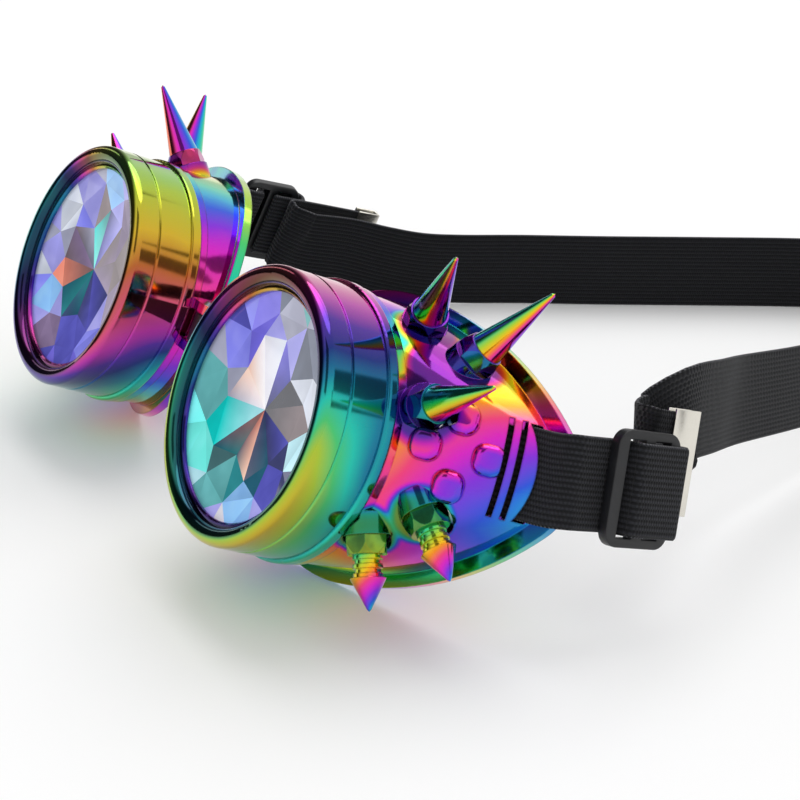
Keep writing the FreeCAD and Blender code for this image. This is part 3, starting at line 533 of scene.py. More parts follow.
@dataclass(frozen=True)
class RingPlating(Plating):
    """Plating of a lens ring: the rainbow runs round it, along its band and over its lip, with painted shade on the
    front of the inner lip, in mm.
    """

    axes: CupAxes
    hue: RingHue
    radius: float = 28.0
    groove: float = -4.0
    lower_edge: Span = (-0.25, 0.45)
    lip_upper: float = 0.25
    drift: float = 0.08
    drift_scale: float = 55.0
    front: Span = (2.5, 3.5)
    flank_edge: Span = (0.2, 0.8)
    flank_cut: float = 1.1
    dusk_inner: Span = (23.3, 23.8)
    dusk_outer: Span = (25.9, 26.7)
    dusk: float = 0.72
    roughness: float = 0.05

    def lay(self, graph: Graph, shader: bpy.types.Node) -> None:
        """Lays the rainbow by place on the ring, and painted shade, standing in for a dark reflection, on its lip.

        Args:
            graph: The finish's nodes.
            shader: The shader.
        """
        hue = self.hue
        place = graph.place()
        side, height, out = self.axes.split(graph, place)
        depth = out - self.groove * MM
        reach = (side * side + height * height) ** 0.5
        level, flank = height / reach, side / reach
        lower = 1 - graph.step(level, *self.lower_edge)
        lip = lower * (1 - self.lip_upper) + self.lip_upper
        turn = level * -hue.slope + level * level * -hue.bend + hue.phase
        turn = turn + (1 - flank) * (1 - level * level) * hue.far_lift
        turn = turn + depth * lower * hue.band_run
        turn = turn + (reach - self.radius * MM) * lip * hue.lip_run
        turn = turn + (graph.noise(place, self.drift_scale) - 0.5) * self.drift + 1.0
        colour = graph.ramp(turn.fraction(), RING_RAINBOW)
        # Painted shade: a dark band on the front of the inner lip, standing in for the dark reflection of the lens and
        # the room; it is narrower on one flank.
        edge = reach + graph.step(flank * -1, *self.flank_edge) * (self.flank_cut * MM)
        dusk = graph.step(reach, *(size * MM for size in self.dusk_inner))
        dusk = dusk * (1 - graph.step(edge, *(size * MM for size in self.dusk_outer)))
        dusk = dusk * graph.step(depth, *(size * MM for size in self.front)) * self.dusk
        self.plate(graph, shader, place, graph.mix(dusk, colour, PAINTED_SHADE_COLOUR), self.roughness)


@dataclass(frozen=True)
class FlangeHue:
    """How the rainbow lies on a cup's flange: its phase, its run per metre of height and its curl."""

    phase: float
    run: float
    curl: float


@dataclass(frozen=True)
class Seat:
    """A spot of painted shade round the seat of a spike, with its reach in mm."""

    place: Triple
    phase: float
    reach: float


@dataclass(frozen=True)
class CupPlating(Plating):
    """Plating of a cup: the rainbow runs along the wing, with a flange of its own and painted shade round the seats.
    """

    axes: CupAxes
    phase: float
    flange: FlangeHue
    seats: tuple[Seat, ...]
    wing_start: float = 28.0
    wing_run: float = 22.0
    wing_slant: float = 7.0
    rim_depth: float = RIM_DEPTH
    rim_lean: float = RIM_LEAN
    flange_edge: Span = (1.8, 2.3)
    drift: float = 0.10
    drift_scale: float = 60.0
    turn_across: float = -0.16
    turn_along: float = 0.12
    seat_turn: float = -0.15
    seat_core: float = 0.62
    seat_dusk: float = 0.62
    edge_reach: float = 0.8
    edge_samples: int = 6
    edge_bend: Span = (0.02, 0.22)
    edge_dusk: float = 0.5
    roughness: float = 0.07

    def lay(self, graph: Graph, shader: bpy.types.Node) -> None:
        """Lays the wing's rainbow, the flange's and the seats', with painted shade round the seats and along the edges
        and creases.

        Args:
            graph: The finish's nodes.
            shader: The shader.
        """
        place, facing = graph.place(), graph.facing()
        upwards, backwards = graph.dot(facing, self.axes.across), graph.dot(facing, self.axes.along)
        side, height, depth = self.axes.split(graph, place)
        lean = math.radians(self.rim_lean)
        rise = side * math.sin(lean) + (depth + self.rim_depth * MM) * math.cos(lean)
        flange = 1 - graph.step(rise, *(size * MM for size in self.flange_edge))
        drift = (graph.noise(place, self.drift_scale) - 0.5) * self.drift
        turn = (side - self.wing_start * MM) * self.wing_run - height * self.wing_slant
        turn = turn + self.phase + drift
        turn = turn + upwards * self.turn_across + backwards * self.turn_along
        curl = height * height * height * -self.flange.curl
        rim_turn = height * -self.flange.run + curl + self.flange.phase + drift
        turn = turn * (1 - flange) + rim_turn * flange
        # Painted shade round the seats of the spikes and studs and in the hollow between the spikes: darker, and
        # turned towards purple.
        dusk: Any = 0.0
        for seat in self.seats:
            away = graph.vector("DISTANCE", place, seat.place, "Value")
            near = 1 - graph.step(away, seat.reach * self.seat_core * MM, seat.reach * MM)
            turn = turn * (1 - near) + (upwards * self.seat_turn + seat.phase) * near
            dusk = graph.math("MAXIMUM", dusk, near * self.seat_dusk)
        colour = graph.ramp((turn + 2.0).fraction(), RAINBOW)
        # Painted shade along edges and creases, found where the rounded normal bends away from the true one.
        straight = graph.out(graph.node("ShaderNodeNewGeometry"), "Normal")
        bend = 1 - graph.dot(graph.rounded(self.edge_reach, self.edge_samples), straight)
        dusk = graph.math("MAXIMUM", dusk, graph.step(bend, *self.edge_bend) * self.edge_dusk)
        self.plate(graph, shader, place, graph.mix(dusk, colour, PAINTED_SHADE_COLOUR), self.roughness)


@dataclass(frozen=True)
class CrystalFinish(Finish):
    """Cut crystal: each facet keeps the tints written on its corners, which are painted reflections, and glows a
    little as painted light.
    """

    streak_scale: float = 220.0
    streak_edge: Span = (0.35, 0.75)
    streak: float = 0.25

    def lay(self, graph: Graph, shader: bpy.types.Node) -> None:
        """Lays the facet tints, painted reflections lightened in streaks, under a polished face, and lets them glow as
        painted light.

        Args:
            graph: The finish's nodes.
            shader: The shader.
        """
        tint = graph.out(graph.node("ShaderNodeAttribute", {"attribute_name": TINT_LAYER}), "Color")
        streak = graph.step(graph.noise(graph.place(), self.streak_scale, 1.0), *self.streak_edge)
        painted_light = graph.mix(streak * self.streak, tint, WHITE, "SOFT_LIGHT")
        graph.link(painted_light, shader, "Base Color")
        # Painted light: the tints also glow, though the crystal is no lamp.
        graph.link(painted_light, shader, "Emission Color")
        settle(shader, {"Emission Strength": 0.28, "Roughness": 0.04, "IOR": 1.5, "Coat Weight": 0.3,
                        "Coat Roughness": 0.02})


@dataclass(frozen=True)
class ElasticFinish(Finish):
    """Woven elastic: ribs along the strap, crossed by fine threads, with pale worn edges, in mm."""

    width: float
    colour: Colour = linear(13, 14, 17)
    thread: Colour = linear(44, 45, 51)
    worn: Colour = linear(120, 120, 126)
    rib: float = 1.05
    pick: float = 0.62
    rib_share: float = 0.75
    fuzz_scale: float = 1400.0
    patch_scale: float = 60.0
    patch_edge: Span = (0.45, 0.8)
    patch_share: float = 0.25
    thread_edge: Span = (0.45, 1.05)
    worn_rim: Span = (0.35, 0.05)
    worn_edge: Span = (0.62, 0.85)
    worn_share: float = 0.55
    roughness: float = 0.94
    bump_depth: float = 0.30

    def lay(self, graph: Graph, shader: bpy.types.Node) -> None:
        """Lays ribs, threads, sheen and worn edges from the strap's own lengthwise map.

        Args:
            graph: The finish's nodes.
            shader: The shader.
        """
        plan = graph.out(graph.node("ShaderNodeUVMap", {"uv_map": WEAVE_MAP}))
        split = graph.node("ShaderNodeSeparateXYZ", {}, {0: plan})
        along, across = graph.out(split, "X"), graph.out(split, "Y")
        row = across * (1 / self.rib)
        shift = graph.math("FLOOR", row) * 0.5
        picks = (along * (1 / self.pick) + shift).wave()
        weave = row.wave() * self.rib_share + picks * (1 - self.rib_share)
        place = graph.place()
        fuzz = graph.noise(place, self.fuzz_scale, 3.0)
        patch = graph.noise(place, self.patch_scale)
        crests = graph.step(weave * 0.7 + fuzz * 0.5, *self.thread_edge)
        shade = graph.mix(crests, self.colour, self.thread)
        shade = graph.mix(graph.step(patch, *self.patch_edge) * self.patch_share, shade, self.thread)
        rim = graph.step(abs(across), *(self.width / 2 - inset for inset in self.worn_rim))
        dots = graph.step(picks * 0.6 + fuzz * 0.6, *self.worn_edge)
        graph.link(graph.mix(rim * dots * self.worn_share, shade, self.worn), shader, "Base Color")
        graph.link(self.roughness - weave * 0.12, shader, "Roughness")
        settle(shader, {"Sheen Weight": 0.12, "Sheen Roughness": 0.5, "Specular IOR Level": 0.25})
        graph.link(graph.bump(weave + fuzz * 0.3, self.bump_depth, 0.9), shader, "Normal")


@dataclass(frozen=True)
class MouldedFinish(Finish):
    """Satin moulded plastic or rubber with a fine grain."""

    colour: Colour
    pale: Colour
    roughness: float = 0.27
    grain_scale: float = 2600.0
    grain_depth: float = 0.02
    wear_scale: float = 120.0
    wear_edge: Span = (0.45, 0.75)
    edge_round: float = 0.3

    def lay(self, graph: Graph, shader: bpy.types.Node) -> None:
        """Lays the grain and a little handling wear.

        Args:
            graph: The finish's nodes.
            shader: The shader.
        """
        place = graph.place()
        grain = graph.noise(place, self.grain_scale, 3.0)
        wear = graph.noise(place, self.wear_scale, 4.0)
        worn = graph.step(wear, *self.wear_edge) * 0.5
        graph.link(graph.mix(worn, self.colour, self.pale), shader, "Base Color")
        graph.link(wear * 0.16 + grain * 0.06 + self.roughness, shader, "Roughness")
        soft = graph.rounded(self.edge_round)
        graph.link(graph.bump(grain, self.grain_depth, 0.5, soft), shader, "Normal")


@dataclass(frozen=True)
class SteelFinish(Finish):
    """Bright plated steel with fine scratches."""

    colour: Colour
    roughness: float = 0.17
    brush_scale: Triple = (3000.0, 200.0, 3000.0)
    brush_depth: float = 0.01
    stain_scale: float = 160.0
    stain_shade: float = 0.8

    def lay(self, graph: Graph, shader: bpy.types.Node) -> None:
        """Lays the brushed grain and faint stains.

        Args:
            graph: The finish's nodes.
            shader: The shader.
        """
        place = graph.place()
        stretch = graph.node("ShaderNodeMapping", {}, {"Vector": place, "Scale": self.brush_scale})
        brush = graph.noise(graph.out(stretch), 1.0, 3.0)
        stain = graph.noise(place, self.stain_scale, 3.0)
        darker = tuple(value * self.stain_shade for value in self.colour)
        graph.link(graph.mix(stain * 0.6, self.colour, darker), shader, "Base Color")
        graph.link(brush * 0.16 + self.roughness, shader, "Roughness")
        settle(shader, {"Metallic": 1.0})
        graph.link(graph.bump(brush, self.brush_depth, 0.4), shader, "Normal")


class Side(Enum):
    """The two sides of the goggles, with the sign of X on each."""

    RIGHT = 1
    LEFT = -1

    @property
    def word(self) -> str:
        """The side's name in the names of nodes and bodies."""
        return self.name.lower()


@dataclass(frozen=True)
class CupSpace:
    """Directions and places of one cup: along the wing, across it and out of the glass, in mm."""

    side: Side
    spacing: float = 88.0
    ahead: float = LENS_AHEAD
    height: float = LENS_HEIGHT
    tilt: float = 26.0
    rise: float = 14.0

    def matrix(self) -> Matrix:
        """Matrix from the cup's frame to the part's frame.

        Returns:
            The matrix, for lengths in metres.
        """
        base = Matrix.Translation(Vector((self.spacing / 2, -self.ahead, self.height)) * MM)
        tilt = Matrix.Rotation(math.radians(90 - self.tilt), 4, "X")
        rise = Matrix.Rotation(math.radians(self.rise), 4, "Z")
        return Matrix.Scale(self.side.value, 4, (1, 0, 0)) @ base @ tilt @ rise

    def place(self, along: float, across: float, out: float) -> Vector:
        """A point of the cup's frame, given in mm, in the part's frame."""
        return self.matrix() @ (Vector((along, across, out)) * MM)

    def way(self, along: float, across: float, out: float) -> Vector:
        """A direction of the cup's frame in the part's frame."""
        return self.matrix().to_3x3() @ Vector((along, across, out))


def add_piece(name: str, data: Any) -> bpy.types.Object:
    """Puts a mesh, lamp or camera into the scene."""
    made = bpy.data.objects.new(name, data)
    bpy.context.scene.collection.objects.link(made)
    return made


def new_piece(name: str, verts: Sequence[Vector], faces: Sequence[Sequence[int]]) -> bpy.types.Object:
    """Makes a mesh object in the scene.

    Args:
        name: Name of the piece.
        verts: Its points, in metres.
        faces: Its faces, as numbers of points.

    Returns:
        The new object.
    """
    mesh = bpy.data.meshes.new(name)
    mesh.from_pydata([tuple(point) for point in verts], [], [tuple(face) for face in faces])
    mesh.update()
    return add_piece(name, mesh)


def copy_of(node: str, name: str) -> bpy.types.Object:
    """A new piece with a copy of a CAD node's mesh.

    Args:
        node: Name of the node.
        name: Name of the piece.

    Returns:
        The new object.
    """
    mesh = frame["nodes"][node].data.copy()
    mesh.name = name
    return add_piece(name, mesh)


def cover(piece: bpy.types.Object, material: bpy.types.Material) -> None:
    """Gives a piece its finish.

    Args:
        piece: A piece of the scene or a CAD node.
        material: The finish.
    """
    piece.data.materials.clear()
    piece.data.materials.append(material)
    LOG.info("finished %s", piece.name)


def dress(node: str, material: bpy.types.Material) -> None:
    """Gives a carried-over CAD node its finish."""
    cover(frame["nodes"][node], material)


def smooth_stations(stations: Sequence[Station]) -> list[Station]:
    """More stations on a smooth curve through the given ones.

    Args:
        stations: Points with the direction of the strap's width.

    Returns:
        The finer stations.
    """
    last = len(stations) - 1

    def curve(points: Sequence[Vector], part: float) -> Vector:
        """A point on the cubic through the middle two of four points.

        Args:
            points: The four points.
            part: Share of the way from the second to the third.

        Returns:
            The point.
        """
        first, second, third, fourth = points
        return (second * 2 + (third - first) * part
                + (first * 2 - second * 5 + third * 4 - fourth) * part ** 2
                + (second * 3 - first - third * 3 + fourth) * part ** 3) * 0.5

    made: list[Station] = []
    for i in range(last):
        near = [stations[min(max(j, 0), last)] for j in (i - 1, i, i + 1, i + 2)]
        for step in range(COURSE_STEPS):
            part = step / COURSE_STEPS
            made.append(tuple(curve([item[kind] for item in near], part) for kind in (0, 1)))
    return made + [stations[-1]]


@dataclass
class Webbing:
    """A flat woven strap with soft selvedges, in mm."""

    width: float
    thickness: float
    columns: int = 20
    selvedge: float = 0.9
    selvedge_least: float = 0.12

    def section(self) -> list[Vector]:
        """Outline of the strap's section.

        Returns:
            Its points as (across, out) pairs, once round.
        """
        half = self.width / 2
        upper: list[Vector] = []
        for i in range(self.columns + 1):
            across = -half * math.cos(math.pi * i / self.columns)
            inset = max(0.0, (abs(across) - half + self.selvedge) / self.selvedge)
            out = self.thickness / 2 * math.sqrt(max(self.selvedge_least, 1 - inset ** 2))
            upper.append(Vector((across, out)))
        return upper + [Vector((point.x, -point.y)) for point in reversed(upper)]

    def build(self, name: str, stations: Sequence[Station], low: int = 0,
              high: int | None = None) -> bpy.types.Object:
        """Makes the strap, or one length of it, along its stations.

        Args:
            name: Name of the piece.
            stations: Points with the direction of the strap's width, in metres.
            low: Number of the station where the piece begins.
            high: Number of the station where it ends; the last one if left out.

        Returns:
            The strap's object.
        """
        outline = self.section()
        ring, last = len(outline), len(stations) - 1
        high = last if high is None else high
        verts: list[Vector] = []
        facings: list[Vector] = []
        plan: list[tuple[float, float]] = []
        slopes = [outline[(j + 1) % ring] - outline[j - 1] for j in range(ring)]
        gone = 0.0
        for i, (point, across) in enumerate(stations):
            gone += (point - stations[i - 1][0]).length / MM if i else 0.0
            ahead = stations[min(i + 1, last)][0] - stations[max(i - 1, 0)][0]
            face = ahead.cross(across).normalized()
            wide = face.cross(ahead).normalized()
            if not low <= i <= high:
                continue
            for spot, slope in zip(outline, slopes):
                verts.append(point + (wide * spot.x + face * spot.y) * MM)
                facings.append((face * slope.x - wide * slope.y).normalized())
                plan.append((gone, spot.x))
        made = new_piece(name, verts, self.skin(high - low, ring))
        self.map_weave(made.data, plan)
        self.shade(made.data, facings, (high - low) * ring)
        return made

    @staticmethod
    def skin(lengths: int, ring: int) -> list[tuple[int, ...]]:
        """Faces of a strap: its sides, and then a row of quads for each flat end.

        Args:
            lengths: Number of lengths between stations.
            ring: Number of points round the section.

        Returns:
            The faces, as numbers of points.
        """
        faces: list[tuple[int, ...]] = []
        for i in range(lengths):
            here, there = i * ring, (i + 1) * ring
            for j in range(ring):
                after = (j + 1) % ring
                faces.append((here + j, there + j, there + after, here + after))
        for base in (0, lengths * ring):
            faces += [(base + j, base + j + 1, base + ring - 2 - j, base + ring - 1 - j)
                      for j in range(ring // 2 - 1)]
        return faces

    @staticmethod
    def map_weave(mesh: bpy.types.Mesh, plan: Sequence[tuple[float, float]]) -> None:
        """Writes each point's length along and across the strap, in mm, as its weave map."""
        weave = mesh.uv_layers.new(name=WEAVE_MAP)
        for loop in mesh.loops:
            weave.data[loop.index].uv = plan[loop.vertex_index]

    @staticmethod
    def shade(mesh: bpy.types.Mesh, facings: Sequence[Vector], sides: int) -> None:
        """Turns the faces outwards and shades the sides smooth and the ends flat.

        Args:
            mesh: The strap's mesh.
            facings: The way each point faces.
            sides: Number of its side faces, which come before the ends.
        """
        body = bmesh.new()
        body.from_mesh(mesh)
        bmesh.ops.recalc_face_normals(body, faces=body.faces)
        body.to_mesh(mesh)
        body.free()
        mesh.shade_smooth()
        normals = [facings[loop.vertex_index] for loop in mesh.loops]
        for polygon in mesh.polygons[sides:]:
            polygon.use_smooth = False
            for corner in polygon.loop_indices:
                normals[corner] = polygon.normal.copy()
        mesh.normals_split_custom_set(normals)


@dataclass
class SliderSpace:
    """Frame of one slider: along the strap, across it and outwards, in mm."""

    side: Side
    out: float = 53.0
    lift: float = 3.0
    roll: float = 7.0
    depths: dict[Side, float] = field(default_factory=lambda: {Side.RIGHT: 55.1, Side.LEFT: 70.6})

    def place(self, along: float, across: float, outwards: float) -> Vector:
        """A point of the slider's frame in the part's frame.

        Args:
            along: Length along the strap, away from the cup, in mm.
            across: Length across the strap, in mm.
            outwards: Length away from the head, in mm.

        Returns:
            The point, in metres.
        """
        cos, sin = math.cos(math.radians(self.roll)), math.sin(math.radians(self.roll))
        height = self.lift + along * sin + across * cos
        depth = -self.depths[self.side] - along * cos + across * sin
        return CupSpace(self.side).place(self.out + outwards, height, depth)

    def width_way(self) -> Vector:
        """Direction across the slider."""
        roll = math.radians(self.roll)
        return CupSpace(self.side).way(0.0, math.cos(roll), math.sin(roll))


@dataclass
class StrapSet:
    """Front strap of one side: out of the slot, through the slider and round its rear bar, in mm."""

    side: Side
    width: float = 17.8
    thickness: float = 1.4
    barrel: float = 27.5
    barrel_depth: float = 15.5
    wing_tip: float = 48.3
    rim_depth: float = RIM_DEPTH
    rim_lean: float = RIM_LEAN
    rim_lip: float = 2.5
    rim_thickness: float = 2.0
    wing_reach: float = 36.8
    wing_bulge: float = 0.06
    slot_reach: float = 43.3
    slot_slant: float = 1.1
    slot_lift: float = 0.6
    wall: float = 2.0
    hem: float = 0.6
    hem_edge: float = -1.4
    hem_inset: float = 0.5
    hem_spread: float = 1.09
    fold: tuple[float, float] = (0.55, 0.9)
    rim_station: int = 4
    clearance: float = 0.4
    slider_length: float = 15.5
    slider_bar: float = 2.6
    slider_thickness: float = 2.4
    bar_turn: int = 30

    def rim_point(self, reach: float, rise: float) -> Vector:
        """A point on the leaning rim plane, in the cup's frame.

        Args:
            reach: Length along the rim plane from the cup's axis.
            rise: Height above the rim plane.

        Returns:
            The point.
        """
        lean = math.radians(self.rim_lean)
        return Vector((reach * math.cos(lean) + rise * math.sin(lean), 0.0,
                       -self.rim_depth - reach * math.sin(lean) + rise * math.cos(lean)))

    def slot_lines(self) -> tuple[Vector, Vector, Vector]:
        """Place and directions of the strap slot, in the cup's frame.

        Returns:
            The slot's middle, the way along the wing and the way out of it.
        """
        start = Vector((self.barrel, 0.0, -self.barrel_depth))
        end = self.rim_point(self.wing_tip, 0.0)
        along = (end - start).normalized()
        out = Vector((-along.z, 0.0, along.x))
        gone = (self.slot_reach - start.x) / (end.x - start.x)
        swell = self.wing_bulge * self.wing_reach * out.x
        slot = start + (end - start) * gone + out * swell * 4 * gone * (1 - gone)
        return slot + Vector((0.0, self.slot_lift, 0.0)), along, out

    def build_hem(self, material: bpy.types.Material) -> None:
        """Makes the strap's sewn end inside the cup, behind the vent slits.

        Args:
            material: The elastic.
        """
        word = self.side.word
        cup = CupSpace(self.side)
        back = cup.matrix().inverted()
        slot, along, out = self.slot_lines()
        made = copy_of(f"{word}_front_strap", f"{word}_strap_hem")
        shape = bmesh.new()
        shape.from_mesh(made.data)

        def run(point: Vector) -> float:
            """Distance along the wing from the slot, in mm."""
            return ((back @ point) / MM - slot).dot(along)

        outside = [face for face in shape.faces
                   if max(run(corner.co) for corner in face.verts) > self.hem_edge]
        bmesh.ops.delete(shape, geom=outside, context="FACES")
        weave = shape.loops.layers.uv.new(WEAVE_MAP)
        for face in shape.faces:
            for loop in face.loops:
                loop[weave].uv = (run(loop.vert.co), (back @ loop.vert.co).y / MM)
        for corner in shape.verts:
            spot = (back @ corner.co) / MM - out * self.hem_inset
            spot.y = self.slot_lift + (spot.y - self.slot_lift) * self.hem_spread
            corner.co = cup.place(*spot)
        shape.to_mesh(made.data)
        shape.free()
        cover(made, material)
        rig.replaces(made, f"{word}_front_strap")
        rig.slot(made, "elastic")
        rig.ride(made, f"{word}_cup")

    def rim_course(self) -> list[Vector]:
        """The strap's course out of the slot and over the rim.

        Returns:
            Points in the cup's frame; the last one leaves the rim.
        """
        slot, along, out = self.slot_lines()
        level_line = Vector((0.0, self.slot_lift, 0.0))
        lift = self.thickness / 2 + self.clearance
        edge = self.wing_tip + self.rim_lip
        rim_back = self.rim_point(edge, 0.0) + level_line
        rim_front = self.rim_point(edge, self.rim_thickness) + level_line
        half_wall = self.wall / 2
        reaches = (-half_wall - lift - self.hem, -half_wall - lift, half_wall + lift)
        points = [slot + along * self.slot_slant * reach + out * (reach - half_wall)
                  for reach in reaches]
        points.append(rim_front + Vector((lift * self.fold[0], 0.0, lift * self.fold[1])))
        points.append(Vector((max(rim_front.x, rim_back.x) + lift, rim_back.y, rim_back.z)))
        return points

    def slider_course(self) -> list[tuple[float, float]]:
        """The strap's course through the slider and round its rear bar.

        Returns:
            Pairs of the length along the slider and the height over its middle plane.
        """
        level = self.slider_thickness / 2 + self.clearance + self.thickness / 2
        gap = (self.slider_length / 2 - 1.5 * self.slider_bar) / 2
        middle = -self.slider_bar / 2 - gap
        turn = self.slider_length / 2 - self.slider_bar / 4
        inner, outer = 0.3 * gap, 0.8 * gap
        course = [(middle - outer, -level), (middle - inner, -level / 2), (middle, 0.0),
                  (middle + inner, level / 2), (middle + outer, level), (turn, level)]
        for degrees in range(90 - self.bar_turn, -90, -self.bar_turn):
            angle = math.radians(degrees)
            course.append((turn + level * math.cos(angle), level * math.sin(angle)))
        return course + [(turn, -level), (0.0, -level)]

    def stations(self) -> list[Station]:
        """The strap's course, as in the solid that it stands for.

        Returns:
            Points with the direction of the strap's width, in metres.
        """
        cup, hold = CupSpace(self.side), SliderSpace(self.side)
        wide, held = cup.way(0.0, 1.0, 0.0), hold.width_way()
        caught = [(hold.place(run, 0.0, rise), held) for run, rise in self.slider_course()]
        points = self.rim_course()
        goal = (cup.matrix().inverted() @ caught[0][0]) / MM
        first, second = (points[3] - points[2]).length, (points[4] - points[3]).length
        slope = (goal.y - self.slot_lift) / (first + second + (goal - points[4]).length)
        points[3].y += first * slope
        points[4].y += (first + second) * slope
        made = [(cup.place(*point), wide) for point in points]
        free = (made[-1][0] + caught[0][0]) / 2
        return made + [(free, (wide + held) / 2)] + caught

    def build(self, material: bpy.types.Material) -> None:
        """Makes the strap, which stretches between its cup and its slider.

        Args:
            material: The elastic.
        """
        word = self.side.word
        stations = self.stations()
        webbing = Webbing(self.width, self.thickness - WOVEN_SHRINK)
        made = webbing.build(f"{word}_front_elastic", smooth_stations(stations))
        cover(made, material)
        start = stations[self.rim_station][0]
        end = SliderSpace(self.side).place(-self.slider_length / 2, 0.0, 0.0)
        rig.replaces(made, f"{word}_front_strap")
        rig.slot(made, "elastic")
        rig.blend(made, f"{word}_cup", f"{word}_adjuster", start, end)


@dataclass
class HeadBand:
    """Elastic band behind the head, with its looped ends, in mm.

    A loop's points run from the tail's fold on: along the slider, inwards and across. The route's
    points follow the band round the head from the right to the left, with Y counted from the lenses.
    """

    width: float = 19.4
    thickness: float = 1.4
    ahead: float = LENS_AHEAD
    below: float = 4.1
    held: float = 2.0
    tails: dict[Side, float] = field(default_factory=lambda: {Side.RIGHT: 14.7, Side.LEFT: 30.0})
    lifts: dict[Side, float] = field(default_factory=lambda: {Side.RIGHT: 5.5, Side.LEFT: 0.0})
    loops: dict[Side, tuple[Triple, ...]] = field(default_factory=lambda: {
        Side.RIGHT: ((5.2, 0.3, 0.2), (4.0, 1.7, 0.6), (4.4, 3.6, 1.2), (7.0, 4.6, 2.2),
                     (11.0, 4.9, 3.6)),
        Side.LEFT: ((5.2, 0.3, 0.0), (4.0, 1.7, -0.1), (4.4, 3.6, -0.3), (7.0, 4.6, -0.6),
                    (11.0, 4.9, -1.0))})
    route: tuple[Triple, ...] = (
        (82.5, 77, 35.5), (77.0, 88.5, 32.5), (70.0, 100.5, 28.5), (63.5, 121, 24.0), (55.0, 146, 19.0),
        (44.0, 174, 14.0), (29.0, 200, 11.0), (11.0, 214, 10.1), (-5.0, 209, 9.9), (-18.0, 192.4, 9.9),
        (-32.0, 170, 9.9), (-46.0, 147, 9.9), (-57.5, 129, 9.9), (-65.0, 115.5, 10.0),
        (-71.0, 106, 10.4), (-77.0, 97.5, 12.0), (-82.0, 89, 14.5))
    lean_run: int = 3
    slide_run: int = 11
    hinge_run: int = 14

    def end_stations(self, side: Side) -> list[Station]:
        """Tail and loop of the band behind one slider.

        Args:
            side: The side of the goggles.

        Returns:
            Stations from the tail's end to the loop's outer run.
        """
        hold = SliderSpace(side)
        lift, tail, loop = self.lifts[side], self.tails[side], self.loops[side]
        places = [(tail, lift, -self.below), ((tail + loop[0][0]) / 2, lift, -self.below)]
        places += [(along, lift + rise, -self.below - inwards) for along, inwards, rise in loop]
        return [(hold.place(*place), hold.width_way()) for place in places]

    def stations(self) -> list[Station]:
        """The whole band from its right tail to its left tail.

        Returns:
            Points with the direction of the band's width, in metres.
        """
        right, left = self.end_stations(Side.RIGHT), self.end_stations(Side.LEFT)
        upright = Vector((0.0, 0.0, 1.0))
        last = len(self.route) - 1
        made: list[Station] = []
        for i, place in enumerate(self.route):
            share = max(0.0, 1 - min(i, last - i) / self.lean_run)
            lean = right[-1][1] if i < last / 2 else left[-1][1]
            point = (Vector(place) - Vector((0.0, self.ahead, 0.0))) * MM
            made.append((point, lean * share + upright * (1 - share)))
        return right + made + left[::-1]

    def held_end(self, side: Side) -> Vector:
        """Place behind one slider up to which the band moves with it."""
        return SliderSpace(side).place(self.tails[side] + self.held, 0.0, 0.0)

    def build(self, material: bpy.types.Material) -> None:
        """Makes the band in five lengths, which follow the sliders, the cups and the bridge in turn.

        Args:
            material: The elastic.
        """
        course = smooth_stations(self.stations())
        count = len(course) - 1
        slide, hinge = self.slide_run * COURSE_STEPS, self.hinge_run * COURSE_STEPS
        cuts = (0, slide, hinge, count - hinge, count - slide, count)
        stops = {cut: course[cut][0] for cut in cuts}
        stops[0], stops[count] = self.held_end(Side.RIGHT), self.held_end(Side.LEFT)
        names = ("right_tail", "right_run", "back", "left_run", "left_tail")
        bodies = (("right_adjuster", "right_cup"), ("right_cup", "bridge"), None,
                  ("bridge", "left_cup"), ("left_cup", "left_adjuster"))
        webbing = Webbing(self.width, self.thickness - WOVEN_SHRINK)
        for name, pair, low, high in zip(names, bodies, cuts, cuts[1:]):
            piece = webbing.build(f"band_{name}", course, low, high)
            cover(piece, material)
            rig.replaces(piece, "head_band")
            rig.slot(piece, "elastic")
            if pair:
                start, end = stops[low], stops[high]
                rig.blend(piece, *pair, start, end)
            else:
                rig.ride(piece, "bridge")


class Tint(Enum):
    """Tints that the crystal's facets show, as painted reflections."""

    WHITE = linear(232, 230, 240)
    SNOW = linear(206, 212, 226)
    VIOLET = linear(112, 104, 216)
    INDIGO = linear(84, 84, 178)
    LILAC = linear(160, 158, 232)
    SLATE = linear(96, 104, 124)
    SMOKE = linear(56, 58, 70)
    UMBER = linear(116, 102, 106)
    BRICK = linear(146, 96, 92)
    NAVY = linear(58, 62, 104)
    SKY = linear(132, 182, 236)
    TEAL = linear(40, 122, 128)
    DEEP = linear(32, 84, 104)
    TURQUOISE = linear(10, 206, 200)
    AQUA = linear(116, 242, 232)
    SEA = linear(96, 170, 172)
    PEACH = linear(240, 200, 178)
    CORAL = linear(222, 132, 112)
    HAZE = linear(158, 160, 182)
    PERIWINKLE = linear(134, 136, 240)
    FOAM = linear(176, 228, 240)
    MOSS = linear(66, 104, 108)
    MAUVE = linear(126, 108, 142)


def tints(words: str) -> tuple[Tint, ...]:
    """The tints named in a line of words."""
    return tuple(Tint[word] for word in words.split())


@dataclass(frozen=True)
class LensPalette:
    """Tints of one lens, painted reflections, from the first ray of the star on.

    An inner facet has three tints: at the heart, at its first ray and at its second ray. The others
    have one each, and the rim has two facets for each ray.
    """

    inner: tuple[tuple[Tint, ...], ...]
    kite: tuple[Tint, ...]
    gap: tuple[Tint, ...]
    rim: tuple[Tint, ...]


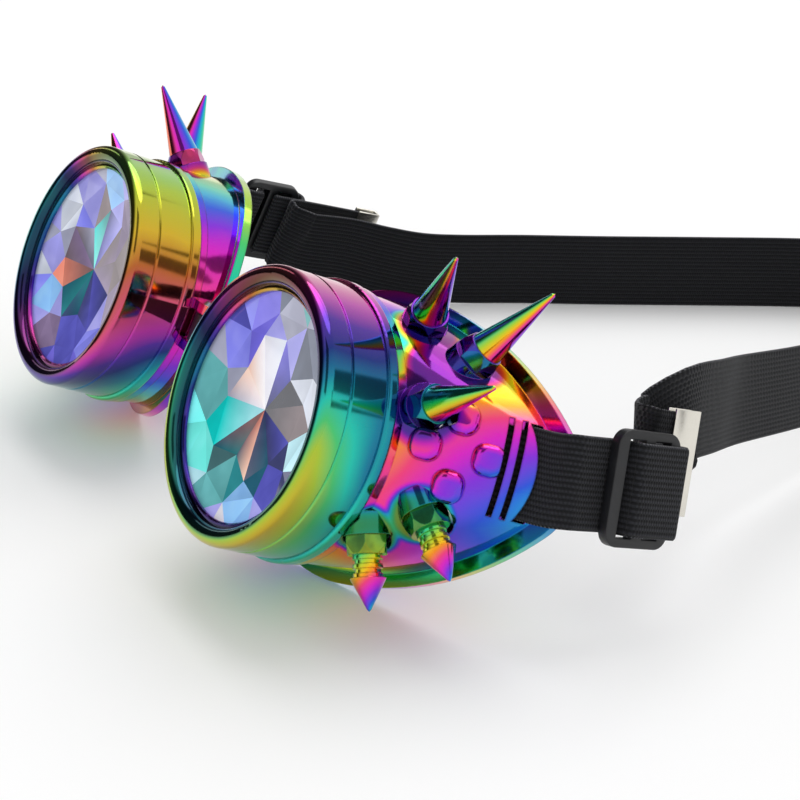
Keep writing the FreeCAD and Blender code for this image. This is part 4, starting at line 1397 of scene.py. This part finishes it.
NEAR_PALETTE = LensPalette(
    inner=(tints("SMOKE SMOKE SMOKE"), tints("NAVY INDIGO VIOLET"), tints("WHITE SNOW WHITE"),
           tints("WHITE WHITE PEACH"), tints("WHITE PEACH HAZE"), tints("FOAM TURQUOISE TURQUOISE"),
           tints("BRICK DEEP TEAL"), tints("CORAL DEEP PEACH"), tints("NAVY SLATE DEEP"),
           tints("NAVY NAVY INDIGO"), tints("SMOKE UMBER UMBER")),
    kite=tints("SNOW LILAC LILAC VIOLET HAZE TURQUOISE MOSS TEAL DEEP NAVY UMBER"),
    gap=tints("SLATE HAZE VIOLET PERIWINKLE SEA AQUA SEA SKY INDIGO FOAM SNOW"),
    rim=tints("SLATE HAZE SEA SLATE VIOLET PERIWINKLE INDIGO HAZE SEA AQUA AQUA FOAM "
              "SEA LILAC WHITE SKY LILAC NAVY NAVY FOAM SNOW SLATE"))
FAR_PALETTE = LensPalette(
    inner=(tints("SLATE UMBER HAZE"), tints("AQUA TURQUOISE TEAL"), tints("INDIGO NAVY LILAC"),
           tints("UMBER UMBER MAUVE"), tints("MAUVE UMBER MAUVE"), tints("INDIGO NAVY INDIGO"),
           tints("NAVY INDIGO NAVY"), tints("TEAL DEEP NAVY"), tints("TEAL TEAL DEEP"),
           tints("UMBER CORAL CORAL"), tints("MAUVE UMBER MAUVE")),
    kite=tints("PERIWINKLE UMBER LILAC MAUVE UMBER LILAC INDIGO INDIGO LILAC CORAL HAZE"),
    gap=tints("LILAC SKY MAUVE UMBER MAUVE PERIWINKLE INDIGO MAUVE SKY LILAC SNOW"),
    rim=tints("LILAC HAZE SKY LILAC LILAC UMBER MAUVE UMBER UMBER LILAC PERIWINKLE VIOLET "
              "INDIGO VIOLET INDIGO MAUVE LILAC PERIWINKLE SNOW HAZE LILAC SNOW"))


@dataclass
class CrystalLens:
    """Cut crystal disc: an uneven star of rays in a shallow dish of facets, in mm and degrees."""

    side: Side
    palette: LensPalette
    seed: int
    radius: float = 24.8
    edge_depth: float = 1.0
    heart_depth: float = 3.9
    dish_power: float = 1.5
    belt_sink: float = 0.2
    back_depth: float = 6.0
    back_rim: float = 2.8
    rays: tuple[float, ...] = (10.0, 42.0, 76.0, 108.0, 139.0, 176.0, 216.0, 245.0, 274.0, 307.0, 339.0)
    reaches: tuple[float, ...] = (0.60, 0.40, 0.58, 0.60, 0.45, 0.52, 0.64, 0.44, 0.58, 0.50, 0.55)
    belts: tuple[float, ...] = (0.72, 0.80, 0.76, 0.70, 0.66, 0.74, 0.78, 0.80, 0.72, 0.70, 0.78)
    facet_glow: Span = (0.9, 1.1)
    corner_glow: Span = (0.8, 1.2)

    def depth(self, share: float) -> float:
        """Depth of the dish at a share of the radius."""
        return -self.heart_depth + (self.heart_depth - self.edge_depth) * share ** self.dish_power

    def spot(self, share: float, angle: float, sink: float = 0.0) -> Vector:
        """A corner of the facets.

        Args:
            share: Its share of the radius.
            angle: Its angle round the lens.
            sink: Its depth below the dish.

        Returns:
            The corner in the cup's frame.
        """
        turn = math.radians(angle)
        reach = self.radius * share
        return Vector((reach * math.cos(turn), reach * math.sin(turn), self.depth(share) - sink))

    def between(self, i: int) -> float:
        """Angle half way from one ray to the next."""
        after = (*self.rays[1:], self.rays[0] + 360.0)[i]
        return (self.rays[i] + after) / 2

    def facets(self) -> list[tuple[list[Vector], Sequence[Tint]]]:
        """All facets of the front.

        Returns:
            The corners, in the cup's frame in mm, with a tint for each.
        """
        count = len(self.rays)
        heart = self.spot(0.0, 0.0)
        tips = [self.spot(self.reaches[i], self.rays[i]) for i in range(count)]
        belts = [self.spot(self.belts[i], self.between(i), self.belt_sink) for i in range(count)]
        rims = [self.spot(1.0, self.between(i)) for i in range(count)]
        mids = [self.spot(1.0, angle) for angle in self.rays]
        made: list[tuple[list[Vector], Sequence[Tint]]] = []
        for i in range(count):
            after = (i + 1) % count
            made.append(([heart, tips[i], tips[after]], self.palette.inner[i]))
            made.append(([tips[i], belts[i], tips[after]], [self.palette.kite[i]] * 3))
            made.append(([tips[after], belts[i], belts[after]], [self.palette.gap[i]] * 3))
            made.append(([belts[i], rims[i], mids[after]], [self.palette.rim[2 * i]] * 3))
            made.append(([belts[i], mids[after], belts[after]], [self.palette.gap[i]] * 3))
            made.append(([belts[after], mids[after], rims[after]], [self.palette.rim[2 * i + 1]] * 3))
        return made

    def build(self, material: bpy.types.Material) -> None:
        """Makes the lens with the tints, painted reflections, on its facets' corners.

        Args:
            material: The crystal.
        """
        cup = CupSpace(self.side)
        dice = random.Random(self.seed)
        verts: list[Vector] = []
        faces: list[list[int]] = []
        colours: list[Colour] = []
        for corners, corner_tints in self.facets():
            first = len(verts)
            glow = dice.uniform(*self.facet_glow)
            for corner, tint in zip(corners, corner_tints):
                verts.append(cup.place(*corner))
                local = glow * dice.uniform(*self.corner_glow)
                colours.append(tuple(min(1.0, value * local) for value in tint.value))
            faces.append(list(range(first, len(verts))))
        self.add_back(cup, verts, faces, colours)
        made = new_piece(f"{self.side.word}_crystal", verts, faces)
        layer = made.data.color_attributes.new(TINT_LAYER, "FLOAT_COLOR", "CORNER")
        for loop in made.data.loops:
            layer.data[loop.index].color = (*colours[loop.vertex_index], 1.0)
        cover(made, material)
        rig.replaces(made, f"{self.side.word}_lens")
        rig.slot(made, "crystal")
        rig.ride(made, f"{self.side.word}_glass")

    def add_back(self, cup: CupSpace, verts: list[Vector], faces: list[list[int]],
                 colours: list[Colour]) -> None:
        """Adds the edge and the faceted back of the lens.

        Args:
            cup: The cup's frame.
            verts: Points made so far, added to.
            faces: Faces made so far, added to.
            colours: Colours of the points, added to.
        """
        angles = sorted([*self.rays, *(self.between(i) for i in range(len(self.rays)))])
        count = len(angles)
        ring = [self.spot(1.0, angle) for angle in angles]
        lows = [Vector((point.x, point.y, -self.back_rim)) for point in ring]
        peak = Vector((0.0, 0.0, -self.back_depth))
        for i, tint in enumerate(self.palette.rim):
            after = (i + 1) % count
            for corners in ([ring[i], lows[i], lows[after], ring[after]], [lows[i], peak, lows[after]]):
                first = len(verts)
                verts.extend(cup.place(*corner) for corner in corners)
                colours.extend([tint.value] * len(corners))
                faces.append(list(range(first, len(verts))))


@dataclass
class Softened:
    """A moulded or pressed piece whose sharp edges are broken, made over its CAD node."""

    node: str
    body: str
    slot: str
    edge_round: float
    segments: int = 3
    weld: float = 1e-6
    flat: float = 1.0
    sharp: float = 40.0
    crease: float = 35.0

    def build(self, material: bpy.types.Material) -> None:
        """Makes the piece with rounded edges, in place of its node.

        Args:
            material: Its finish.
        """
        made = copy_of(self.node, f"{self.node}_soft")
        mesh = made.data
        shape = bmesh.new()
        shape.from_mesh(mesh)
        bmesh.ops.remove_doubles(shape, verts=shape.verts, dist=self.weld)
        bmesh.ops.dissolve_limit(shape, angle_limit=math.radians(self.flat), verts=shape.verts,
                                 edges=shape.edges)
        sharp = [edge for edge in shape.edges if len(edge.link_faces) == 2
                 and edge.calc_face_angle() > math.radians(self.sharp)]
        bmesh.ops.bevel(shape, geom=sharp, offset=self.edge_round * MM, segments=self.segments,
                        profile=0.5, affect="EDGES", clamp_overlap=True)
        shape.to_mesh(mesh)
        shape.free()
        cover(made, material)
        mesh.shade_smooth()
        mesh.set_sharp_from_angle(angle=math.radians(self.crease))
        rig.replaces(made, self.node)
        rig.slot(made, self.slot)
        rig.ride(made, self.body)


@dataclass
class PlatedCup:
    """The plated pieces of one side: cup, ring, spikes, studs and nuts, in mm of the cup's frame."""

    side: Side
    ring: RingHue
    flange: FlangeHue
    cup_phase: float
    spike_phase: float
    nut_phase: float
    stud_phase: float
    spike_seats: tuple[Triple, ...] = ((20.0, 25.0, -23.0), (30.5, 21.5, -29.0), (30.0, 8.0, -19.0))
    # a spot of painted shade between the spikes
    hollow: Triple = (27.5, 16.5, -22.5)
    spike_shift: float = -0.16
    spike_reach: float = 8.8
    stud_seats: tuple[Triple, ...] = ((23.5, -19.5, -19.0), (31.5, -14.0, -24.5))
    stud_way: Triple = (0.48, -0.86, -0.16)
    stud_sink: float = 3.0
    stud_rise: float = 6.2
    stud_shift: float = 0.20
    stud_reach: float = 7.4
    stud_run: float = 70.0
    stud_turn: Triple = (0.0597, 0.1041, 0.0)
    cone_turn: Triple = (0.257981, 0.239366, -0.229244)
    nut_turn: tuple[float, float] = (0.12, -0.10)
    nut_run: float = -10.0
    nut_waver: float = 0.15
    nut_waver_scale: float = 140.0
    nut_shade: float = 0.62

    def seats(self, cup: CupSpace) -> tuple[Seat, ...]:
        """The spots of painted shade round the spikes and studs.

        Args:
            cup: The cup's frame.

        Returns:
            The seats, in the part's frame.
        """
        sink = Vector(self.stud_way) * self.stud_sink
        spots = [(spot, self.spike_shift, self.spike_reach)
                 for spot in (*self.spike_seats, self.hollow)]
        spots += [(Vector(spot) - sink, self.stud_shift, self.stud_reach) for spot in self.stud_seats]
        return tuple(Seat(tuple(cup.place(*spot)), self.nut_phase + shift, reach)
                     for spot, shift, reach in spots)

    def dress(self) -> None:
        """Gives each plated node the part of the rainbow that it shows."""
        word = self.side.word
        cup = CupSpace(self.side)
        heart = tuple(cup.place(0.0, 0.0, 0.0))
        along, across, out = cup.way(1, 0, 0), cup.way(0, 1, 0), cup.way(0, 0, 1)
        ring_axes = CupAxes(heart, tuple(along * self.side.value), tuple(across), tuple(out))
        cup_axes = CupAxes(heart, tuple(along), tuple(across), tuple(out))
        ring = RingPlating(f"{word}_ring_plating", ring_axes, self.ring)
        shell = CupPlating(f"{word}_cup_plating", cup_axes, self.cup_phase, self.flange,
                           self.seats(cup))
        nuts = SpikePlating(f"{word}_nut_plating", self.nut_phase, heart,
                            tuple(along * self.nut_turn[0] + across * self.nut_turn[1]),
                            tuple(across * self.nut_run), self.nut_waver, self.nut_waver_scale,
                            shade=self.nut_shade)
        dress(f"{word}_lens_ring", ring.material())
        dress(f"{word}_eye_cup", shell.material())
        dress(f"{word}_spike_nuts", nuts.material())
        cone = SpikePlating(f"{word}_spike_plating", self.spike_phase, heart, self.cone_turn).material()
        for number in range(1, len(self.spike_seats) + 1):
            dress(f"{word}_spike_{number}", cone)
        for number, seat in enumerate(self.stud_seats, start=1):
            collar = cup.place(*(Vector(seat) + Vector(self.stud_way) * self.stud_rise))
            stud = SpikePlating(f"{word}_stud_{number}_plating", self.stud_phase, tuple(collar),
                                self.stud_turn, tuple(cup.way(*self.stud_way) * self.stud_run))
            dress(f"{word}_stud_{number}", stud.material())


@dataclass(frozen=True)
class Card:
    """A rectangular card in the room; its half sizes are slopes seen from the object."""

    centre: Triple
    half_wide: float
    half_high: float
    edge: float = 0.012

    def share(self, graph: Graph, way: Signal) -> Signal:
        """The card as a mask, 1 on it and 0 beside it.

        Args:
            graph: The room's nodes.
            way: The direction looked in.

        Returns:
            The mask.
        """
        ahead = Vector(self.centre).normalized()
        right = ahead.cross(Vector((0.0, 0.0, 1.0))).normalized()
        near = graph.math("MAXIMUM", graph.dot(way, tuple(ahead)), 0.001)
        inside: Any = 1.0
        for axis, half in ((right, self.half_wide), (right.cross(ahead), self.half_high)):
            beside = abs(graph.dot(way, tuple(axis)) / near)
            inside = (1 - graph.step(beside, half - self.edge, half + self.edge)) * inside
        return inside


@dataclass
class Studio:
    """White table, soft light and the camera."""

    table_size: float = 12.0
    table_colour: Colour = (0.90, 0.90, 0.90)
    table_glow: float = 0.09
    sky: float = 0.72
    dark_way: Triple = (-0.87, -0.35, 0.22)
    dark_edge: Span = (0.45, 0.80)
    dark_colour: Colour = (0.03, 0.03, 0.04)
    strip: Card = Card((-0.97, -0.05, 0.30), 0.05, 0.30, 0.01)
    cards: tuple[Card, ...] = (
        Card((0.50, 0.80, 0.30), 0.13, 0.10), Card((0.72, 0.66, 0.24), 0.06, 0.13),
        Card((0.30, -0.35, 0.90), 0.22, 0.30), Card((-0.35, 0.60, 0.72), 0.30, 0.16))
    card_share: float = 0.85
    card_colour: Colour = (0.05, 0.05, 0.06)
    sun: float = 1.15
    sun_spread: float = 50.0
    sun_way: Triple = (0.35, -0.5, -1.0)
    lens_mid: Triple = (0.0, -LENS_AHEAD, LENS_HEIGHT)
    eye: Triple = (362.2, -148.8, 161.1)
    towards_eye: Triple = (0.789, -0.4525, 0.4155)
    focal: float = 90.0
    sensor: float = 36.0
    nearest: float = 0.01

    def build(self) -> None:
        """Sets up table, light and camera."""
        bpy.context.scene.view_settings.view_transform = "Standard"
        self.build_table()
        self.build_room()
        self.build_lamp()
        self.build_camera()
        LOG.info("set up the studio")

    def build_table(self) -> None:
        """A wide white table top, which glows a little where it is looked at."""
        half = self.table_size / 2
        corners = ((-half, -half), (half, -half), (half, half), (-half, half))
        made = new_piece("table", [Vector((x, y, 0.0)) for x, y in corners], [(0, 1, 2, 3)])
        top = bpy.data.materials.new("table_top")
        top.use_nodes = True
        shader = top.node_tree.nodes["Principled BSDF"]
        settle(shader, {"Base Color": (*self.table_colour, 1.0), "Roughness": 0.9,
                        "Specular IOR Level": 0.0, "Emission Strength": 1.0})
        graph = Graph(top.node_tree)
        seen, mirrored, through = self.rays(graph)
        looked_at = graph.math("MAXIMUM", graph.math("MAXIMUM", seen, mirrored), through)
        graph.link(graph.mix(looked_at, BLACK, (self.table_glow,) * 3), shader, "Emission Color")
        made.data.materials.append(top)
        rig.stage(made)

    @staticmethod
    def rays(graph: Graph) -> list[Signal]:
        """Masks of the rays of the camera, of reflections and through glass."""
        path = graph.node("ShaderNodeLightPath")
        return [graph.out(path, f"Is {kind} Ray") for kind in ("Camera", "Glossy", "Transmission")]

    def build_room(self) -> None:
        """A pale room, white where the camera looks, with a dark side and cards for the plating."""
        world = bpy.data.worlds.new("room")
        bpy.context.scene.world = world
        world.use_nodes = True
        graph = Graph(world.node_tree)
        way = graph.out(graph.node("ShaderNodeTexCoord"), "Generated")
        dark = graph.step(graph.dot(way, tuple(Vector(self.dark_way).normalized())), *self.dark_edge)
        room = graph.mix(dark * (1 - self.strip.share(graph, way)), WHITE, self.dark_colour)
        for card in self.cards:
            room = graph.mix(card.share(graph, way) * self.card_share, room, self.card_colour)
        seen, mirrored, through = self.rays(graph)
        colour = graph.mix(mirrored, (self.sky,) * 3, room)
        colour = graph.mix(graph.math("MAXIMUM", seen, through), colour, WHITE)
        graph.link(colour, world.node_tree.nodes["Background"], "Color")

    def build_lamp(self) -> None:
        """One broad lamp from above."""
        lamp = bpy.data.lights.new("broad_lamp", "SUN")
        lamp.energy = self.sun
        lamp.angle = math.radians(self.sun_spread)
        holder = add_piece("broad_lamp", lamp)
        holder.rotation_euler = Vector(self.sun_way).to_track_quat("-Z", "Y").to_euler()

    def build_camera(self) -> None:
        """The camera at the picture's own angle."""
        back = Vector(self.towards_eye).normalized()
        right = Vector((0.0, 0.0, 1.0)).cross(back).normalized()
        camera = bpy.data.cameras.new("camera")
        camera.lens = self.focal
        camera.sensor_width = self.sensor
        camera.clip_start = self.nearest
        turn = Matrix((right, back.cross(right), back)).transposed().to_4x4()
        turn.translation = (Vector(self.lens_mid) + Vector(self.eye)) * MM
        holder = add_piece("camera", camera)
        holder.matrix_world = turn
        bpy.context.scene.camera = holder


def write_sizes(boxes: Iterable[tuple[Vector, Vector]]) -> None:
    """Writes the CAD box and the dressed box."""
    with open(SIZE_FILE, "w") as target:
        json.dump([[list(corner) for corner in box] for box in boxes], target)


def main() -> None:
    """Builds the goggles' looks on their frame, piece by piece."""
    logging.basicConfig(level=logging.INFO)
    Studio().build()
    near_ring = RingHue(phase=0.70, slope=0.35, bend=0.20, far_lift=0.08, band_run=28.0, lip_run=125.0)
    far_ring = RingHue(phase=0.27, slope=0.38, bend=0.05, far_lift=0.27, band_run=-20.0, lip_run=60.0)
    PlatedCup(Side.RIGHT, near_ring, FlangeHue(phase=0.42, run=12.5, curl=30000.0),
              cup_phase=0.0, spike_phase=1.0, nut_phase=0.58, stud_phase=1.10).dress()
    PlatedCup(Side.LEFT, far_ring, FlangeHue(phase=0.50, run=-8.0, curl=-5000.0),
              cup_phase=0.62, spike_phase=0.4, nut_phase=0.62, stud_phase=0.7).dress()
    crystal = CrystalFinish("crystal").material()
    CrystalLens(Side.RIGHT, NEAR_PALETTE, seed=7).build(crystal)
    CrystalLens(Side.LEFT, FAR_PALETTE, seed=19).build(crystal)
    front_elastic = ElasticFinish("front_elastic", StrapSet.width).material()
    band_elastic = ElasticFinish("band_elastic", HeadBand.width, thread=linear(23, 24, 30)).material()
    black = MouldedFinish("black_plastic", linear(15, 16, 19), linear(32, 33, 38)).material()
    rubber = MouldedFinish("seal_rubber", linear(24, 24, 25), linear(40, 40, 42), 0.49).material()
    steel = SteelFinish("pin_steel", linear(150, 152, 158)).material()
    bright = SteelFinish("clip_steel", linear(226, 222, 212), 0.13).material()
    for side in Side:
        strap = StrapSet(side)
        strap.build(front_elastic)
        strap.build_hem(front_elastic)
        adjuster = f"{side.word}_adjuster"
        Softened(f"{side.word}_strap_slider", adjuster, "black_plastic", 0.95, 4).build(black)
        Softened(f"{side.word}_strap_clip", adjuster, "bright_steel", 0.15, 2).build(bright)
        dress(f"{side.word}_bridge_pin", steel)
        dress(f"{side.word}_lens_gasket", rubber)
    HeadBand().build(band_elastic)
    Softened("nose_bridge", "bridge", "black_plastic", 0.4).build(black)
    write_sizes((CAD_BOX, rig.bounds()))


if __name__ == "__main__":
    main()
